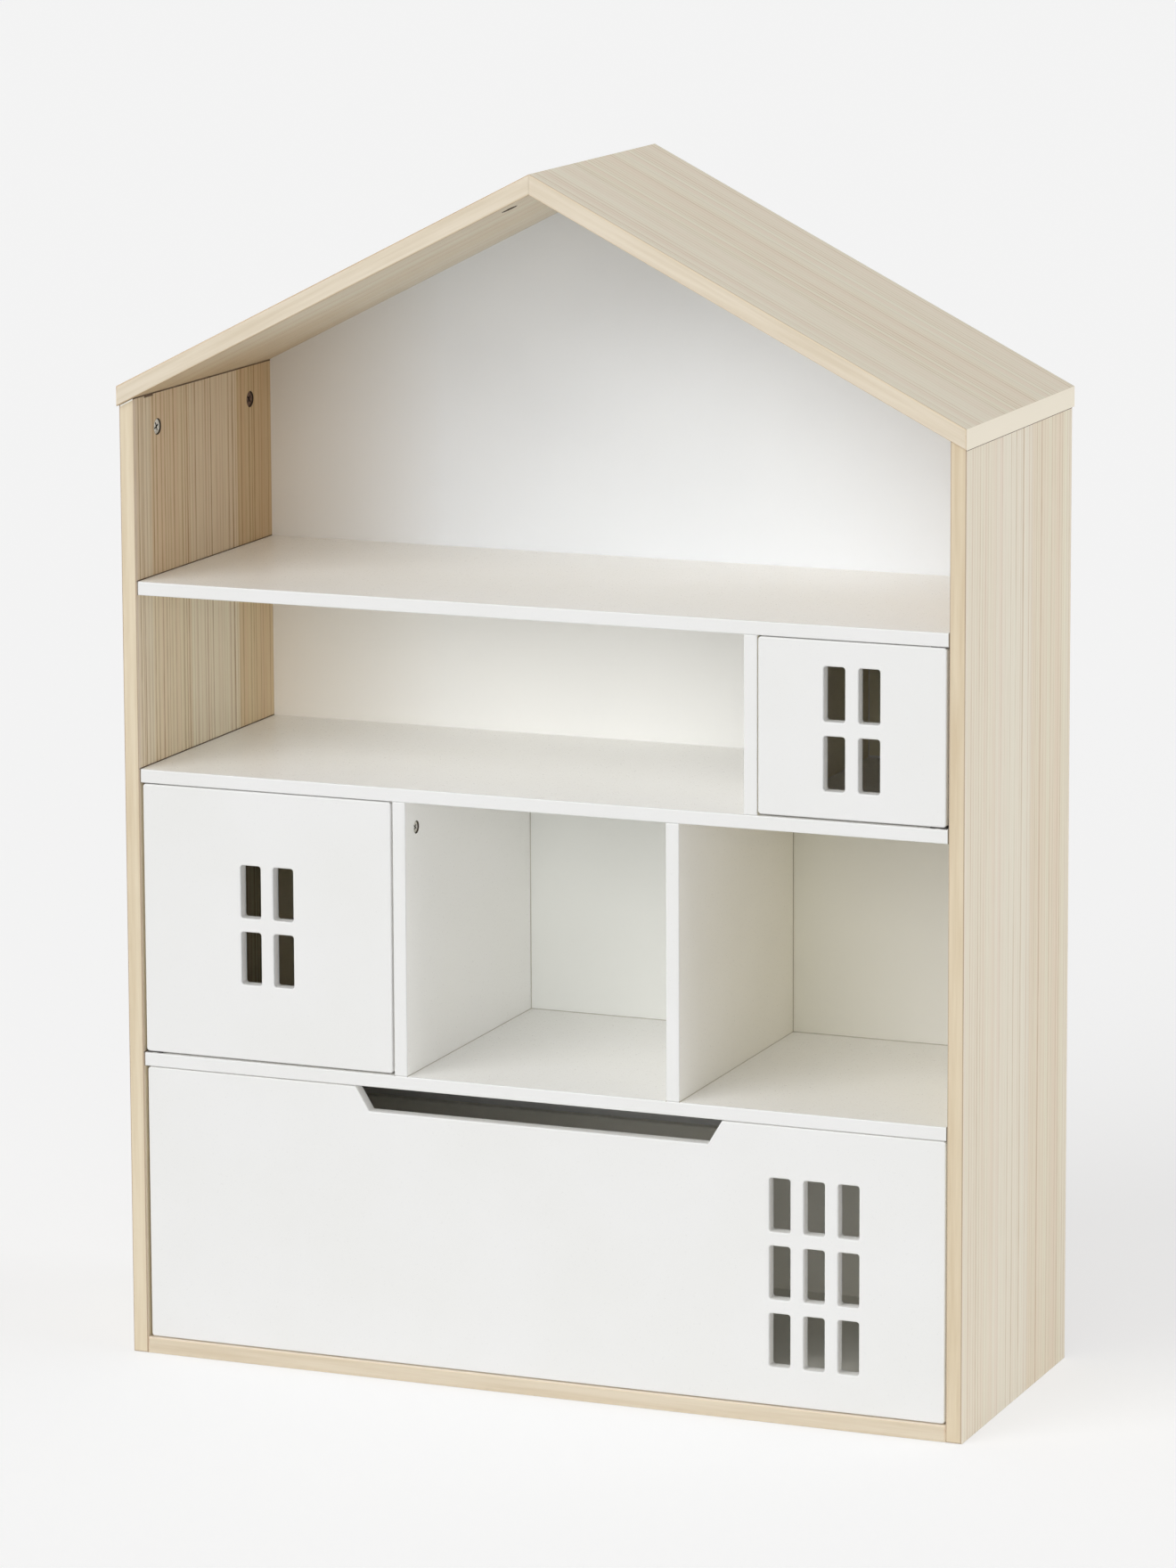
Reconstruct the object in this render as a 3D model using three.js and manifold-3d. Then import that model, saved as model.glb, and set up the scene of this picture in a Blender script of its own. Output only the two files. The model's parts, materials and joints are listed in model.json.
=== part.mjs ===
// House-shaped cabinet for a child's room: a pine shell under a pitched roof, white shelves and
// dividers, two doors with small windows, and a wide toy drawer on roller runners.
// Millimetres. X runs to the right, Y to the back and Z up. The origin is on the floor, in the
// middle of the footprint. Every board is drawn as it shows from the front and given its depth.
import * as THREE from 'three';
import { mergeVertices } from 'three/addons/utils/BufferGeometryUtils.js';
import Module from 'manifold-3d';

// Overall sizes
const cabinetWidth = 962; // over the outer faces of the sides
const cabinetDepth = 350; // of the sides
const ridgeHeight = 1317;
const roofPitchDegrees = 26.9;
const roofOverhang = 1; // how far the eaves pass the sides
const roofReach = 5; // how far the roof stands out before and behind the sides

// Board thicknesses
const sideThickness = 18;
const roofThickness = 19.5;
const bottomThickness = 18;
const shelfThickness = 15;
const dividerThickness = 15;
const backThickness = 3;
const doorThickness = 15;
const drawerFrontThickness = 15;
const drawerWallThickness = 12;
const drawerFloorThickness = 4;

// How the clear height under the eaves is shared out from the floor up; the attic has the rest
const shelfCount = 3;
const drawerBayShare = 0.30685;
const cubbyShare = 0.30083;
const upperRowShare = 0.19153;

const upperDoorBayShare = 0.22786; // of the clear width between the sides

// How far the fronts stand behind the front edges of the sides
const shelfSetback = 1;
const doorSetback = 1;
const drawerSetback = 3;

// Eased edges
const pineArris = 1.6;
const paintedArris = 1.2;
const frontArris = 1.8; // doors and drawer front
const frontCornerRadius = 3.5;
const arrisSteps = 2;
const cornerSteps = 3;

// Gaps at rest
const fitGap = 0.3; // between pieces that are let into each other
const seamGap = 0.2; // between the roof boards at the ridge
const roofSeatGap = 0.4; // between the top of a side and the roof
const pivotPlay = 0.2; // between a pivot plate and the bush that it turns on
const runningGap = 0.1; // around a pin that turns in a bush, and around a roller's stud
const overrun = 2; // how far a cutting shape passes the board that it cuts

// Back board in its rebate
const rebateWidth = 8;
const rebateGap = 0.5;

// Windows of the doors and the drawer
const paneWidth = 23.5;
const paneHeightShare = 0.19333; // of the cubbies' height
const paneBarWidth = 15;
const paneBarHeight = 15.5;
const paneCornerRadius = 3;
const doorPaneColumns = 2;
const doorPaneRows = 2;
const doorPaneRise = 1; // of the panes over the middle of the door
const drawerPaneColumns = 3;
const drawerPaneRows = 3;
const drawerPaneSideMargin = 95.6; // from the right edge of the drawer front
const drawerPaneFootShare = 0.1388; // from its lower edge, as a share of its height

// Cam locks, flat drums that draw two boards together
const pineCamRadius = 8.2;
const dividerCamRadius = 6.2;
const camLength = 11.5;
const camSink = 1.4; // how far the drum's face lies below the board's face
const camEdgeDistance = 34; // from the joint that it closes
const dividerCamEdgeDistance = 32;
const ridgeCamEdgeDistance = 40;
const camSlotShare = 0.9756; // of the drum's radius, the slot's length
const camSlotWidth = 1.6;
const camSlotDepth = 2;
const camBoreGap = 0.6;
const camSteps = 24;
const sideCamInset = 57; // from the front or rear edge of a side
const dividerCamInset = 31;
const ridgeCamInset = 39;

// Door pivots: a plate with a pin on the door, turning in a bush in the shelf
const doorHingeGap = 3;
const leftDoorFreeGap = 2;
const rightDoorFreeGap = 0.7;
const doorTopGap = 1;
const doorFootGap = 2;
const pivotFromDoorEdge = 9;
const pivotPlateLength = 18;
const pivotPlateWidth = 11;
const pivotPinRadius = 2.4;
const pivotPinLength = 8;
const bushOuterRadius = 4;
const bushFlangeRadius = 5.5;
const bushFlangeThickness = 0.3;
const bushLength = 9;
const pivotSteps = 20;

// Magnetic catches
const catchLength = 40;
const catchDepth = 12;
const catchHeight = 11;
const catchFromDoorEdge = 14;
const catchCornerRadius = 2;
const strikeLength = 34;
const strikeHeight = 8;
const strikeThickness = 1;

// Drawer box
const drawerLeftGap = 3; // between the drawer front and the sides
const drawerRightGap = 2;
const drawerTopGap = 1.1;
const drawerFootGap = 0.8;
const drawerWallFoot = 20; // height of the box's lower edge above the bottom board
const drawerWallShare = 0.6242; // of the height of the drawer's bay
const drawerLength = 326; // from the front of the drawer front to the rear of the box
const floorAboveWallFoot = 11;
const grooveDepth = 5;
const wallArris = 1;

// Handle cut-out in the upper edge of the drawer front
const handleTopWidth = 423;
const handleFootWidth = 391;
const handleDepth = 26.4;

// Roller runners: a folded profile on the side, and one on the drawer
const runnerSheet = 1;
const runnerSideClearance = 12.5; // between the drawer box and the side
const cabinetRunnerFoot = 12; // above the bottom board
const cabinetRunnerHeight = 26.5;
const trackWidth = 9;
const topLipWidth = 7;
const cabinetRunnerLength = 315;
const runnerFrontInset = 20; // from the front edge of the side
const drawerRunnerGrip = 10.5; // reach under the drawer wall
const drawerTrackWidth = 9;
const rollerRadius = 10;
const rollerWidth = 8;
const rollerPlay = 0.3;
const studRadius = 3;
const studHeadRadius = 5;
const studHeadThickness = 1;
const frontRollerInset = 12; // from the front end of the cabinet runner
const rearRollerInset = 15; // from the rear end of the drawer runner
const rollerSteps = 28;

// Places that follow from the sizes above
const pitch = THREE.MathUtils.degToRad(roofPitchDegrees);
const roofPlumb = roofThickness / Math.cos(pitch); // roof board's thickness measured upright
const roofTopAt = (x) => ridgeHeight - Math.abs(x) * Math.tan(pitch);
const roofUndersideAt = (x) => roofTopAt(x) - roofPlumb;
const frontY = -cabinetDepth / 2;
const rearY = cabinetDepth / 2;
const backFrontY = rearY - backThickness;
const outerHalfWidth = cabinetWidth / 2;
const innerHalfWidth = outerHalfWidth - sideThickness;
const clearHeight = roofUndersideAt(innerHalfWidth) - bottomThickness - shelfCount * shelfThickness;
const drawerBayHeight = drawerBayShare * clearHeight;
const cubbyHeight = cubbyShare * clearHeight;
const upperRowHeight = upperRowShare * clearHeight;
const lowerShelfZ = bottomThickness + drawerBayHeight; // undersides of the shelves
const middleShelfZ = lowerShelfZ + shelfThickness + cubbyHeight;
const upperShelfZ = middleShelfZ + shelfThickness + upperRowHeight;
const cubbyWidth = (2 * innerHalfWidth - 2 * dividerThickness) / 3;
const lowerDividerX = (cubbyWidth + dividerThickness) / 2;
const upperDoorBayWidth = upperDoorBayShare * 2 * innerHalfWidth;
const upperDividerX = innerHalfWidth - upperDoorBayWidth - dividerThickness / 2;
const paneHeight = paneHeightShare * cubbyHeight;
const bushBoreRadius = pivotPinRadius + runningGap;
const plateThickness = (endGap) => endGap - bushFlangeThickness - pivotPlay;

const pine = new THREE.MeshStandardMaterial({ color: 0xdccfb4, roughness: 0.6, metalness: 0 });
const whitePaint = new THREE.MeshStandardMaterial({ color: 0xf0efec, roughness: 0.45, metalness: 0 });
const whiteBoard = new THREE.MeshStandardMaterial({ color: 0xe9e7e1, roughness: 0.6, metalness: 0 });
const zinc = new THREE.MeshStandardMaterial({ color: 0xb4b2ab, roughness: 0.4, metalness: 0.9 });
const darkSteel = new THREE.MeshStandardMaterial({ color: 0x4a4a4a, roughness: 0.4, metalness: 0.9 });
const nylon = new THREE.MeshStandardMaterial({ color: 0xe4e3de, roughness: 0.5, metalness: 0 });
const whiteSteel = new THREE.MeshStandardMaterial({ color: 0xe6e6e4, roughness: 0.35, metalness: 0.3 });

const wasm = await Module();
wasm.setup();

const group = new THREE.Group();

function addMesh(parent, name, geometry, material) {
  const mesh = new THREE.Mesh(geometry, material);
  mesh.name = name;
  parent.add(mesh);
  return mesh;
}

// Solids for joining and cutting
function toSolid(geometry) {
  const bare = geometry.clone();
  bare.deleteAttribute('normal');
  bare.deleteAttribute('uv');
  const merged = mergeVertices(bare);
  const vertProperties = new Float32Array(merged.attributes.position.array);
  const triVerts = new Uint32Array(merged.index.array);
  return new wasm.Manifold(new wasm.Mesh({ numProp: 3, vertProperties, triVerts }));
}

function toGeometry(solid) {
  const { vertProperties, triVerts } = solid.getMesh();
  const geometry = new THREE.BufferGeometry();
  geometry.setAttribute('position', new THREE.BufferAttribute(vertProperties, 3));
  geometry.setIndex(new THREE.BufferAttribute(triVerts, 1));
  geometry.computeVertexNormals();
  return geometry;
}

function cut(geometry, cutters) {
  const solid = cutters.reduce((rest, cutter) => rest.subtract(toSolid(cutter)), toSolid(geometry));
  return toGeometry(solid);
}

function join(geometry, additions) {
  const solid = additions.reduce((sum, addition) => sum.add(toSolid(addition)), toSolid(geometry));
  return toGeometry(solid);
}

// Outlines in the front view: x to the right, z up
function outline(points) {
  return new THREE.Shape(points.map(([x, z]) => new THREE.Vector2(x, z)));
}

function rectangle(left, foot, right, top) {
  return outline([[left, foot], [right, foot], [right, top], [left, top]]);
}

function addCorner(path, x, z, radius, startAngle) {
  path.absarc(x, z, radius, startAngle, startAngle + Math.PI / 2, false);
}

function roundedRectangle(left, foot, right, top, radius) {
  const shape = new THREE.Shape();
  addCorner(shape, right - radius, foot + radius, radius, -Math.PI / 2);
  addCorner(shape, right - radius, top - radius, radius, 0);
  addCorner(shape, left + radius, top - radius, radius, Math.PI / 2);
  addCorner(shape, left + radius, foot + radius, radius, Math.PI);
  return shape;
}

// A board with the given front view, from nearY to farY, its front and rear arrises eased.
function board(shape, nearY, farY, arris) {
  const geometry = new THREE.ExtrudeGeometry(shape, {
    depth: farY - nearY - 2 * arris,
    bevelEnabled: arris > 0,
    bevelThickness: arris,
    bevelSize: arris,
    bevelOffset: -arris,
    bevelSegments: arrisSteps,
    curveSegments: cornerSteps,
  });
  geometry.translate(0, 0, arris);
  geometry.rotateX(Math.PI / 2);
  geometry.translate(0, farY, 0);
  return geometry;
}

function box(x0, y0, z0, x1, y1, z1) {
  const geometry = new THREE.BoxGeometry(x1 - x0, y1 - y0, z1 - z0);
  geometry.translate((x0 + x1) / 2, (y0 + y1) / 2, (z0 + z1) / 2);
  return geometry;
}

// A round solid on the Z axis from foot to top.
function drum(radius, foot, top, steps) {
  const geometry = new THREE.CylinderGeometry(radius, radius, top - foot, steps);
  geometry.rotateX(Math.PI / 2);
  geometry.translate(0, 0, (foot + top) / 2);
  return geometry;
}

// A grid of window panes whose lower left corner is at left, foot.
function addPanes(shape, left, foot, columns, rows) {
  for (let column = 0; column < columns; column += 1) {
    for (let row = 0; row < rows; row += 1) {
      const x = left + column * (paneWidth + paneBarWidth);
      const z = foot + row * (paneHeight + paneBarHeight);
      shape.holes.push(roundedRectangle(x, z, x + paneWidth, z + paneHeight, paneCornerRadius));
    }
  }
}

const panesWidth = (columns) => columns * paneWidth + (columns - 1) * paneBarWidth;
const panesHeight = (rows) => rows * paneHeight + (rows - 1) * paneBarHeight;

// Cam locks. A place holds the drum's radius, the point on the board's face and the direction that the
// face looks in.
const camPlaces = [];

function addCamPair(name, radius, x, z, inset, normal) {
  for (const [end, y] of [['front', frontY + inset], ['rear', rearY - inset]]) {
    const point = new THREE.Vector3(x, y, z);
    camPlaces.push({ name: `${name}_${end}_cam`, radius, point, normal: new THREE.Vector3(...normal) });
  }
}

const sideCamZ = roofUndersideAt(outerHalfWidth - sideThickness / 2) - camEdgeDistance;
addCamPair('left_side', pineCamRadius, -innerHalfWidth, sideCamZ, sideCamInset, [1, 0, 0]);
addCamPair('right_side', pineCamRadius, innerHalfWidth, sideCamZ, sideCamInset, [-1, 0, 0]);
addCamPair('ridge', pineCamRadius, -ridgeCamEdgeDistance, roofUndersideAt(ridgeCamEdgeDistance),
  ridgeCamInset, [Math.sin(pitch), 0, -Math.cos(pitch)]);
const lowerDividerFaceX = lowerDividerX - dividerThickness / 2;
const upperDividerFaceX = upperDividerX + dividerThickness / 2;
for (const [name, x, jointZ, side] of [['left_divider', -lowerDividerFaceX, middleShelfZ, 1],
  ['right_divider', lowerDividerFaceX, middleShelfZ, -1],
  ['upper_divider', upperDividerFaceX, upperShelfZ, 1]]) {
  const z = jointZ - dividerCamEdgeDistance;
  addCamPair(name, dividerCamRadius, x, z, dividerCamInset, [side, 0, 0]);
}

function turnTo(normal) {
  return new THREE.Quaternion().setFromUnitVectors(new THREE.Vector3(0, 0, 1), normal);
}

function camBore({ radius, point, normal }) {
  const bore = drum(radius + camBoreGap, -camSink - camLength, overrun, camSteps);
  bore.applyQuaternion(turnTo(normal));
  bore.translate(point.x, point.y, point.z);
  return bore;
}

const camBores = (name) => camPlaces.filter((place) => place.name.startsWith(name)).map(camBore);

function camGeometry(radius) {
  const halfLength = camSlotShare * radius / 2;
  const halfWidth = camSlotWidth / 2;
  const slotFoot = -camSlotDepth;
  const slots = [
    box(-halfLength, -halfWidth, slotFoot, halfLength, halfWidth, overrun),
    box(-halfWidth, -halfLength, slotFoot, halfWidth, halfLength, overrun),
  ];
  return cut(drum(radius, fitGap - camLength, 0, camSteps), slots);
}

function addCams() {
  const geometries = new Map([pineCamRadius, dividerCamRadius].map((r) => [r, camGeometry(r)]));
  for (const { name, radius, point, normal } of camPlaces) {
    const cam = addMesh(group, name, geometries.get(radius), zinc);
    cam.quaternion.copy(turnTo(normal));
    cam.position.copy(point).addScaledVector(normal, -camSink);
  }
}

// The house-shaped back, grown by a margin past the inner faces of the shell.
function backOutline(margin) {
  const halfWidth = innerHalfWidth + margin;
  const foot = bottomThickness - margin;
  const rise = margin / Math.cos(pitch);
  const eaveZ = roofUndersideAt(halfWidth) + rise;
  return outline([[-halfWidth, foot], [halfWidth, foot], [halfWidth, eaveZ],
    [0, roofUndersideAt(0) + rise], [-halfWidth, eaveZ]]);
}

function backRebate() {
  return board(backOutline(rebateWidth), backFrontY, rearY + roofReach + overrun, 0);
}

// All that lies over the seat of the roof boards on the sides
function overRoofSeat() {
  const reach = outerHalfWidth + overrun;
  const seatAt = (x) => roofUndersideAt(x) - roofSeatGap / Math.cos(pitch);
  const shape = outline([[-reach, seatAt(reach)], [0, seatAt(0)], [reach, seatAt(reach)],
    [reach, ridgeHeight], [-reach, ridgeHeight]]);
  return board(shape, frontY - overrun, rearY + overrun, 0);
}

// The sides are cut at the pitch after their edges are eased, so the cut keeps its sharp edges.
function addSides() {
  const top = roofUndersideAt(innerHalfWidth) + pineArris;
  for (const [name, side] of [['left_side', -1], ['right_side', 1]]) {
    const [left, right] = [side * outerHalfWidth, side * innerHalfWidth].sort((a, b) => a - b);
    const cuts = [overRoofSeat(), backRebate(), ...camBores(name)];
    const whole = board(rectangle(left, 0, right, top), frontY, rearY, pineArris);
    addMesh(group, `${name}_panel`, cut(whole, cuts), pine);
  }
}

function addBottom() {
  const shape = rectangle(-innerHalfWidth, 0, innerHalfWidth, bottomThickness);
  addMesh(group, 'bottom_panel', cut(board(shape, frontY, rearY, pineArris), [backRebate()]), pine);
}

// The two roof boards meet in an upright mitre at the ridge and end plumb at the eaves. The mitre is
// cut after the edges are eased, so it closes tight.
function addRoof() {
  const eaveX = outerHalfWidth + roofOverhang;
  const spareX = 2 * pineArris; // how far the uncut board passes the mitre
  const spareRise = spareX * Math.tan(pitch);
  const [nearY, farY] = [frontY - roofReach, rearY + roofReach];
  for (const [name, side] of [['left', -1], ['right', 1]]) {
    const shape = outline([[-side * spareX, roofUndersideAt(0) + spareRise],
      [side * eaveX, roofUndersideAt(eaveX)], [side * eaveX, roofTopAt(eaveX)],
      [-side * spareX, roofTopAt(0) + spareRise]]);
    const [left, right] = [side * seamGap / 2, -side * eaveX].sort((a, b) => a - b);
    const beyondMitre = box(left, nearY - overrun, 0, right, farY + overrun, 2 * ridgeHeight);
    const cuts = [beyondMitre, backRebate(), ...(side < 0 ? camBores('ridge') : [])];
    addMesh(group, `${name}_roof_panel`, cut(board(shape, nearY, farY, pineArris), cuts), pine);
  }
}

function addBack() {
  const shape = backOutline(rebateWidth - rebateGap);
  addMesh(group, 'back_panel', board(shape, backFrontY, rearY, 0), whiteBoard);
}

// Doors. The hinge is at the outer end of the bay, and inward points from it to the free edge.
const pivotY = frontY + doorSetback + doorThickness / 2;
const doors = [
  {
    name: 'left_door',
    inward: 1,
    bayFoot: lowerShelfZ + shelfThickness,
    bayTop: middleShelfZ,
    bayWidth: cubbyWidth,
    freeGap: leftDoorFreeGap,
  },
  {
    name: 'right_door',
    inward: -1,
    bayFoot: middleShelfZ + shelfThickness,
    bayTop: upperShelfZ,
    bayWidth: upperDoorBayWidth,
    freeGap: rightDoorFreeGap,
  },
];

const pivotX = (door) => -door.inward * (innerHalfWidth - doorHingeGap - pivotFromDoorEdge);

function bushHole(door, faceZ, up) {
  const hole = drum(bushOuterRadius + fitGap, -overrun, bushLength + fitGap, pivotSteps);
  if (up < 0) {
    hole.rotateX(Math.PI);
  }
  hole.translate(pivotX(door), pivotY, faceZ);
  return hole;
}

function ring(points, steps) {
  const geometry = new THREE.LatheGeometry(points.map(([r, z]) => new THREE.Vector2(r, z)), steps);
  geometry.rotateX(Math.PI / 2);
  return geometry;
}

// The flange lies on the shelf and the sleeve goes into it; up is 1 in a shelf over the door.
function bushGeometry() {
  const flange = -bushFlangeThickness;
  return ring([[bushBoreRadius, flange], [bushFlangeRadius, flange], [bushFlangeRadius, 0],
    [bushOuterRadius, 0], [bushOuterRadius, bushLength], [bushBoreRadius, bushLength],
    [bushBoreRadius, flange]], pivotSteps);
}

function pivotGeometry(inward, thickness) {
  const reach = pivotPlateLength - pivotFromDoorEdge;
  const halfWidth = pivotPlateWidth / 2;
  const near = inward > 0 ? -pivotFromDoorEdge : -reach;
  const plate = box(near, -halfWidth, 0, near + pivotPlateLength, halfWidth, thickness);
  const pin = drum(pivotPinRadius, thickness / 2, thickness + pivotPinLength, pivotSteps);
  return join(plate, [pin]);
}

function addBush(door, place, faceZ, up) {
  const bush = addMesh(group, `${door.name}_${place}_bush`, bushGeometry(), nylon);
  bush.position.set(pivotX(door), pivotY, faceZ);
  bush.rotation.x = up > 0 ? 0 : Math.PI;
}

// The door's group has its origin on the hinge axis, at the door's lower edge.
function addDoor(door) {
  const { name, inward, bayFoot, bayTop, bayWidth, freeGap } = door;
  const width = bayWidth - doorHingeGap - freeGap;
  const height = bayTop - bayFoot - doorFootGap - doorTopGap;
  const leaf = new THREE.Group();
  leaf.position.set(pivotX(door), pivotY, bayFoot + doorFootGap);
  group.add(leaf);

  const left = inward > 0 ? -pivotFromDoorEdge : pivotFromDoorEdge - width;
  const shape = roundedRectangle(left, 0, left + width, height, frontCornerRadius);
  const paneLeft = left + (width - panesWidth(doorPaneColumns)) / 2;
  const paneFoot = (height - panesHeight(doorPaneRows)) / 2 + doorPaneRise;
  addPanes(shape, paneLeft, paneFoot, doorPaneColumns, doorPaneRows);
  const nearY = -doorThickness / 2;
  addMesh(leaf, name, board(shape, nearY, -nearY, frontArris), whitePaint);

  const upperPlate = pivotGeometry(inward, plateThickness(doorTopGap));
  const upperPivot = addMesh(leaf, `${name}_upper_pivot`, upperPlate, darkSteel);
  upperPivot.position.z = height;
  const lowerPlate = pivotGeometry(inward, plateThickness(doorFootGap));
  const lowerPivot = addMesh(leaf, `${name}_lower_pivot`, lowerPlate, darkSteel);
  lowerPivot.rotation.x = Math.PI;

  const freeEdge = inward * (width - pivotFromDoorEdge);
  const catchMiddle = freeEdge - inward * (catchFromDoorEdge + catchLength / 2);
  const strikeFoot = height - frontArris - strikeHeight;
  const strike = box(catchMiddle - strikeLength / 2, -nearY, strikeFoot,
    catchMiddle + strikeLength / 2, strikeThickness - nearY, strikeFoot + strikeHeight);
  addMesh(leaf, `${name}_strike_plate`, strike, darkSteel);

  addBush(door, 'upper', bayTop, 1);
  addBush(door, 'lower', bayFoot, -1);
  addCatch(door, pivotX(door) + catchMiddle);
}

function addCatch(door, middleX) {
  const nearY = pivotY + doorThickness / 2 + strikeThickness + fitGap;
  const shape = roundedRectangle(middleX - catchLength / 2, door.bayTop - catchHeight,
    middleX + catchLength / 2, door.bayTop, catchCornerRadius);
  addMesh(group, `${door.name}_magnet_catch`, board(shape, nearY, nearY + catchDepth, 0), nylon);
}

// Shelves and dividers, with the bush holes of the doors that turn between them.
function addShelf(name, footZ, cuts) {
  const shape = rectangle(-innerHalfWidth, footZ, innerHalfWidth, footZ + shelfThickness);
  const plain = board(shape, frontY + shelfSetback, backFrontY, paintedArris);
  addMesh(group, name, cuts.length ? cut(plain, cuts) : plain, whitePaint);
}

function addDivider(name, middleX, foot, top, camName) {
  const half = dividerThickness / 2;
  const shape = rectangle(middleX - half, foot, middleX + half, top);
  const plain = board(shape, frontY + shelfSetback, backFrontY, paintedArris);
  addMesh(group, name, cut(plain, camBores(camName)), whitePaint);
}

function addInside() {
  const [leftDoor, rightDoor] = doors;
  addShelf('lower_shelf', lowerShelfZ, [bushHole(leftDoor, leftDoor.bayFoot, -1)]);
  addShelf('middle_shelf', middleShelfZ,
    [bushHole(leftDoor, leftDoor.bayTop, 1), bushHole(rightDoor, rightDoor.bayFoot, -1)]);
  addShelf('upper_shelf', upperShelfZ, [bushHole(rightDoor, rightDoor.bayTop, 1)]);
  const cubbyFoot = lowerShelfZ + shelfThickness;
  const rowFoot = middleShelfZ + shelfThickness;
  addDivider('lower_left_divider', -lowerDividerX, cubbyFoot, middleShelfZ, 'left_divider');
  addDivider('lower_right_divider', lowerDividerX, cubbyFoot, middleShelfZ, 'right_divider');
  addDivider('upper_divider', upperDividerX, rowFoot, upperShelfZ, 'upper_divider');
}

// Drawer
const drawerFrontY = frontY + drawerSetback;
const drawerBoxFrontY = drawerFrontY + drawerFrontThickness;
const drawerRearY = drawerFrontY + drawerLength;
const drawerFrontFoot = bottomThickness + drawerFootGap;
const drawerFrontTop = lowerShelfZ - drawerTopGap;
const wallOuterX = innerHalfWidth - runnerSideClearance;
const wallInnerX = wallOuterX - drawerWallThickness;
const wallFootZ = bottomThickness + drawerWallFoot;
const wallTopZ = wallFootZ + drawerWallShare * drawerBayHeight;
const floorFootZ = wallFootZ + floorAboveWallFoot;
const drawerBackY = drawerRearY - drawerWallThickness;

function floorGroove() {
  const reachX = wallInnerX + grooveDepth;
  return box(-reachX, drawerBoxFrontY - grooveDepth, floorFootZ - fitGap,
    reachX, drawerBackY + grooveDepth, floorFootZ + drawerFloorThickness + fitGap);
}

function drawerFrontGeometry() {
  const shape = new THREE.Shape();
  const radius = frontCornerRadius;
  const left = drawerLeftGap - innerHalfWidth;
  const right = innerHalfWidth - drawerRightGap;
  const top = drawerFrontTop;
  addCorner(shape, right - radius, drawerFrontFoot + radius, radius, -Math.PI / 2);
  addCorner(shape, right - radius, top - radius, radius, 0);
  shape.lineTo(handleTopWidth / 2, top);
  shape.lineTo(handleFootWidth / 2, top - handleDepth);
  shape.lineTo(-handleFootWidth / 2, top - handleDepth);
  shape.lineTo(-handleTopWidth / 2, top);
  addCorner(shape, left + radius, top - radius, radius, Math.PI / 2);
  addCorner(shape, left + radius, drawerFrontFoot + radius, radius, Math.PI);
  const paneLeft = right - drawerPaneSideMargin - panesWidth(drawerPaneColumns);
  const paneFoot = drawerFrontFoot + drawerPaneFootShare * (top - drawerFrontFoot);
  addPanes(shape, paneLeft, paneFoot, drawerPaneColumns, drawerPaneRows);
  return cut(board(shape, drawerFrontY, drawerBoxFrontY, frontArris), [floorGroove()]);
}

function addDrawerBox() {
  addMesh(group, 'drawer_front', drawerFrontGeometry(), whitePaint);
  for (const [name, side] of [['left', -1], ['right', 1]]) {
    const [x0, x1] = side < 0 ? [-wallOuterX, -wallInnerX] : [wallInnerX, wallOuterX];
    const section = roundedRectangle(x0, wallFootZ, x1, wallTopZ, wallArris);
    const wall = board(section, drawerBoxFrontY, drawerRearY, 0);
    addMesh(group, `drawer_${name}_side`, cut(wall, [floorGroove()]), whitePaint);
  }
  const back = board(rectangle(-wallInnerX, wallFootZ, wallInnerX, wallTopZ), drawerBackY, drawerRearY,
    wallArris);
  addMesh(group, 'drawer_back', cut(back, [floorGroove()]), whitePaint);
  const floorX = wallInnerX + grooveDepth - fitGap;
  const floor = box(-floorX, drawerBoxFrontY - grooveDepth + fitGap, floorFootZ,
    floorX, drawerBackY + grooveDepth - fitGap, floorFootZ + drawerFloorThickness);
  addMesh(group, 'drawer_floor', floor, whiteBoard);
}

// Runners. The rear roller stands on the cabinet runner's track, and the drawer runner's
// upper flange stands on the front roller.
const trackZ = bottomThickness + cabinetRunnerFoot + runnerSheet;
const rearRollerZ = trackZ + rollerPlay + rollerRadius;
const frontRollerZ = rearRollerZ + rollerPlay;
const drawerFlangeZ = frontRollerZ + rollerRadius + rollerPlay;
const cabinetRunnerY = frontY + runnerFrontInset;
const frontRollerY = cabinetRunnerY + frontRollerInset;
const rearRollerY = drawerRearY - rearRollerInset;
const cabinetWebX = innerHalfWidth - runnerSheet;
const drawerWebX = wallOuterX + runnerSheet;

// A headed stud that stands on a web, towards +X where direction is 1 and towards -X where it is -1.
function stud(webX, direction, y, z) {
  const neck = rollerWidth + 2 * rollerPlay;
  const root = -runnerSheet / 2;
  const profile = [[0, root], [studRadius, root], [studRadius, neck], [studHeadRadius, neck],
    [studHeadRadius, neck + studHeadThickness], [0, neck + studHeadThickness]];
  const geometry = ring(profile, rollerSteps);
  geometry.rotateY(direction * Math.PI / 2);
  geometry.translate(webX, y, z);
  return geometry;
}

function addRoller(name, webX, direction, y, z) {
  const half = rollerWidth / 2;
  const bore = studRadius + runningGap;
  const section = [[bore, -half], [rollerRadius, -half], [rollerRadius, half], [bore, half], [bore, -half]];
  const geometry = ring(section, rollerSteps);
  geometry.rotateY(Math.PI / 2);
  const roller = addMesh(group, name, geometry, nylon);
  roller.position.set(webX + direction * (rollerPlay + half), y, z);
}

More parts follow.
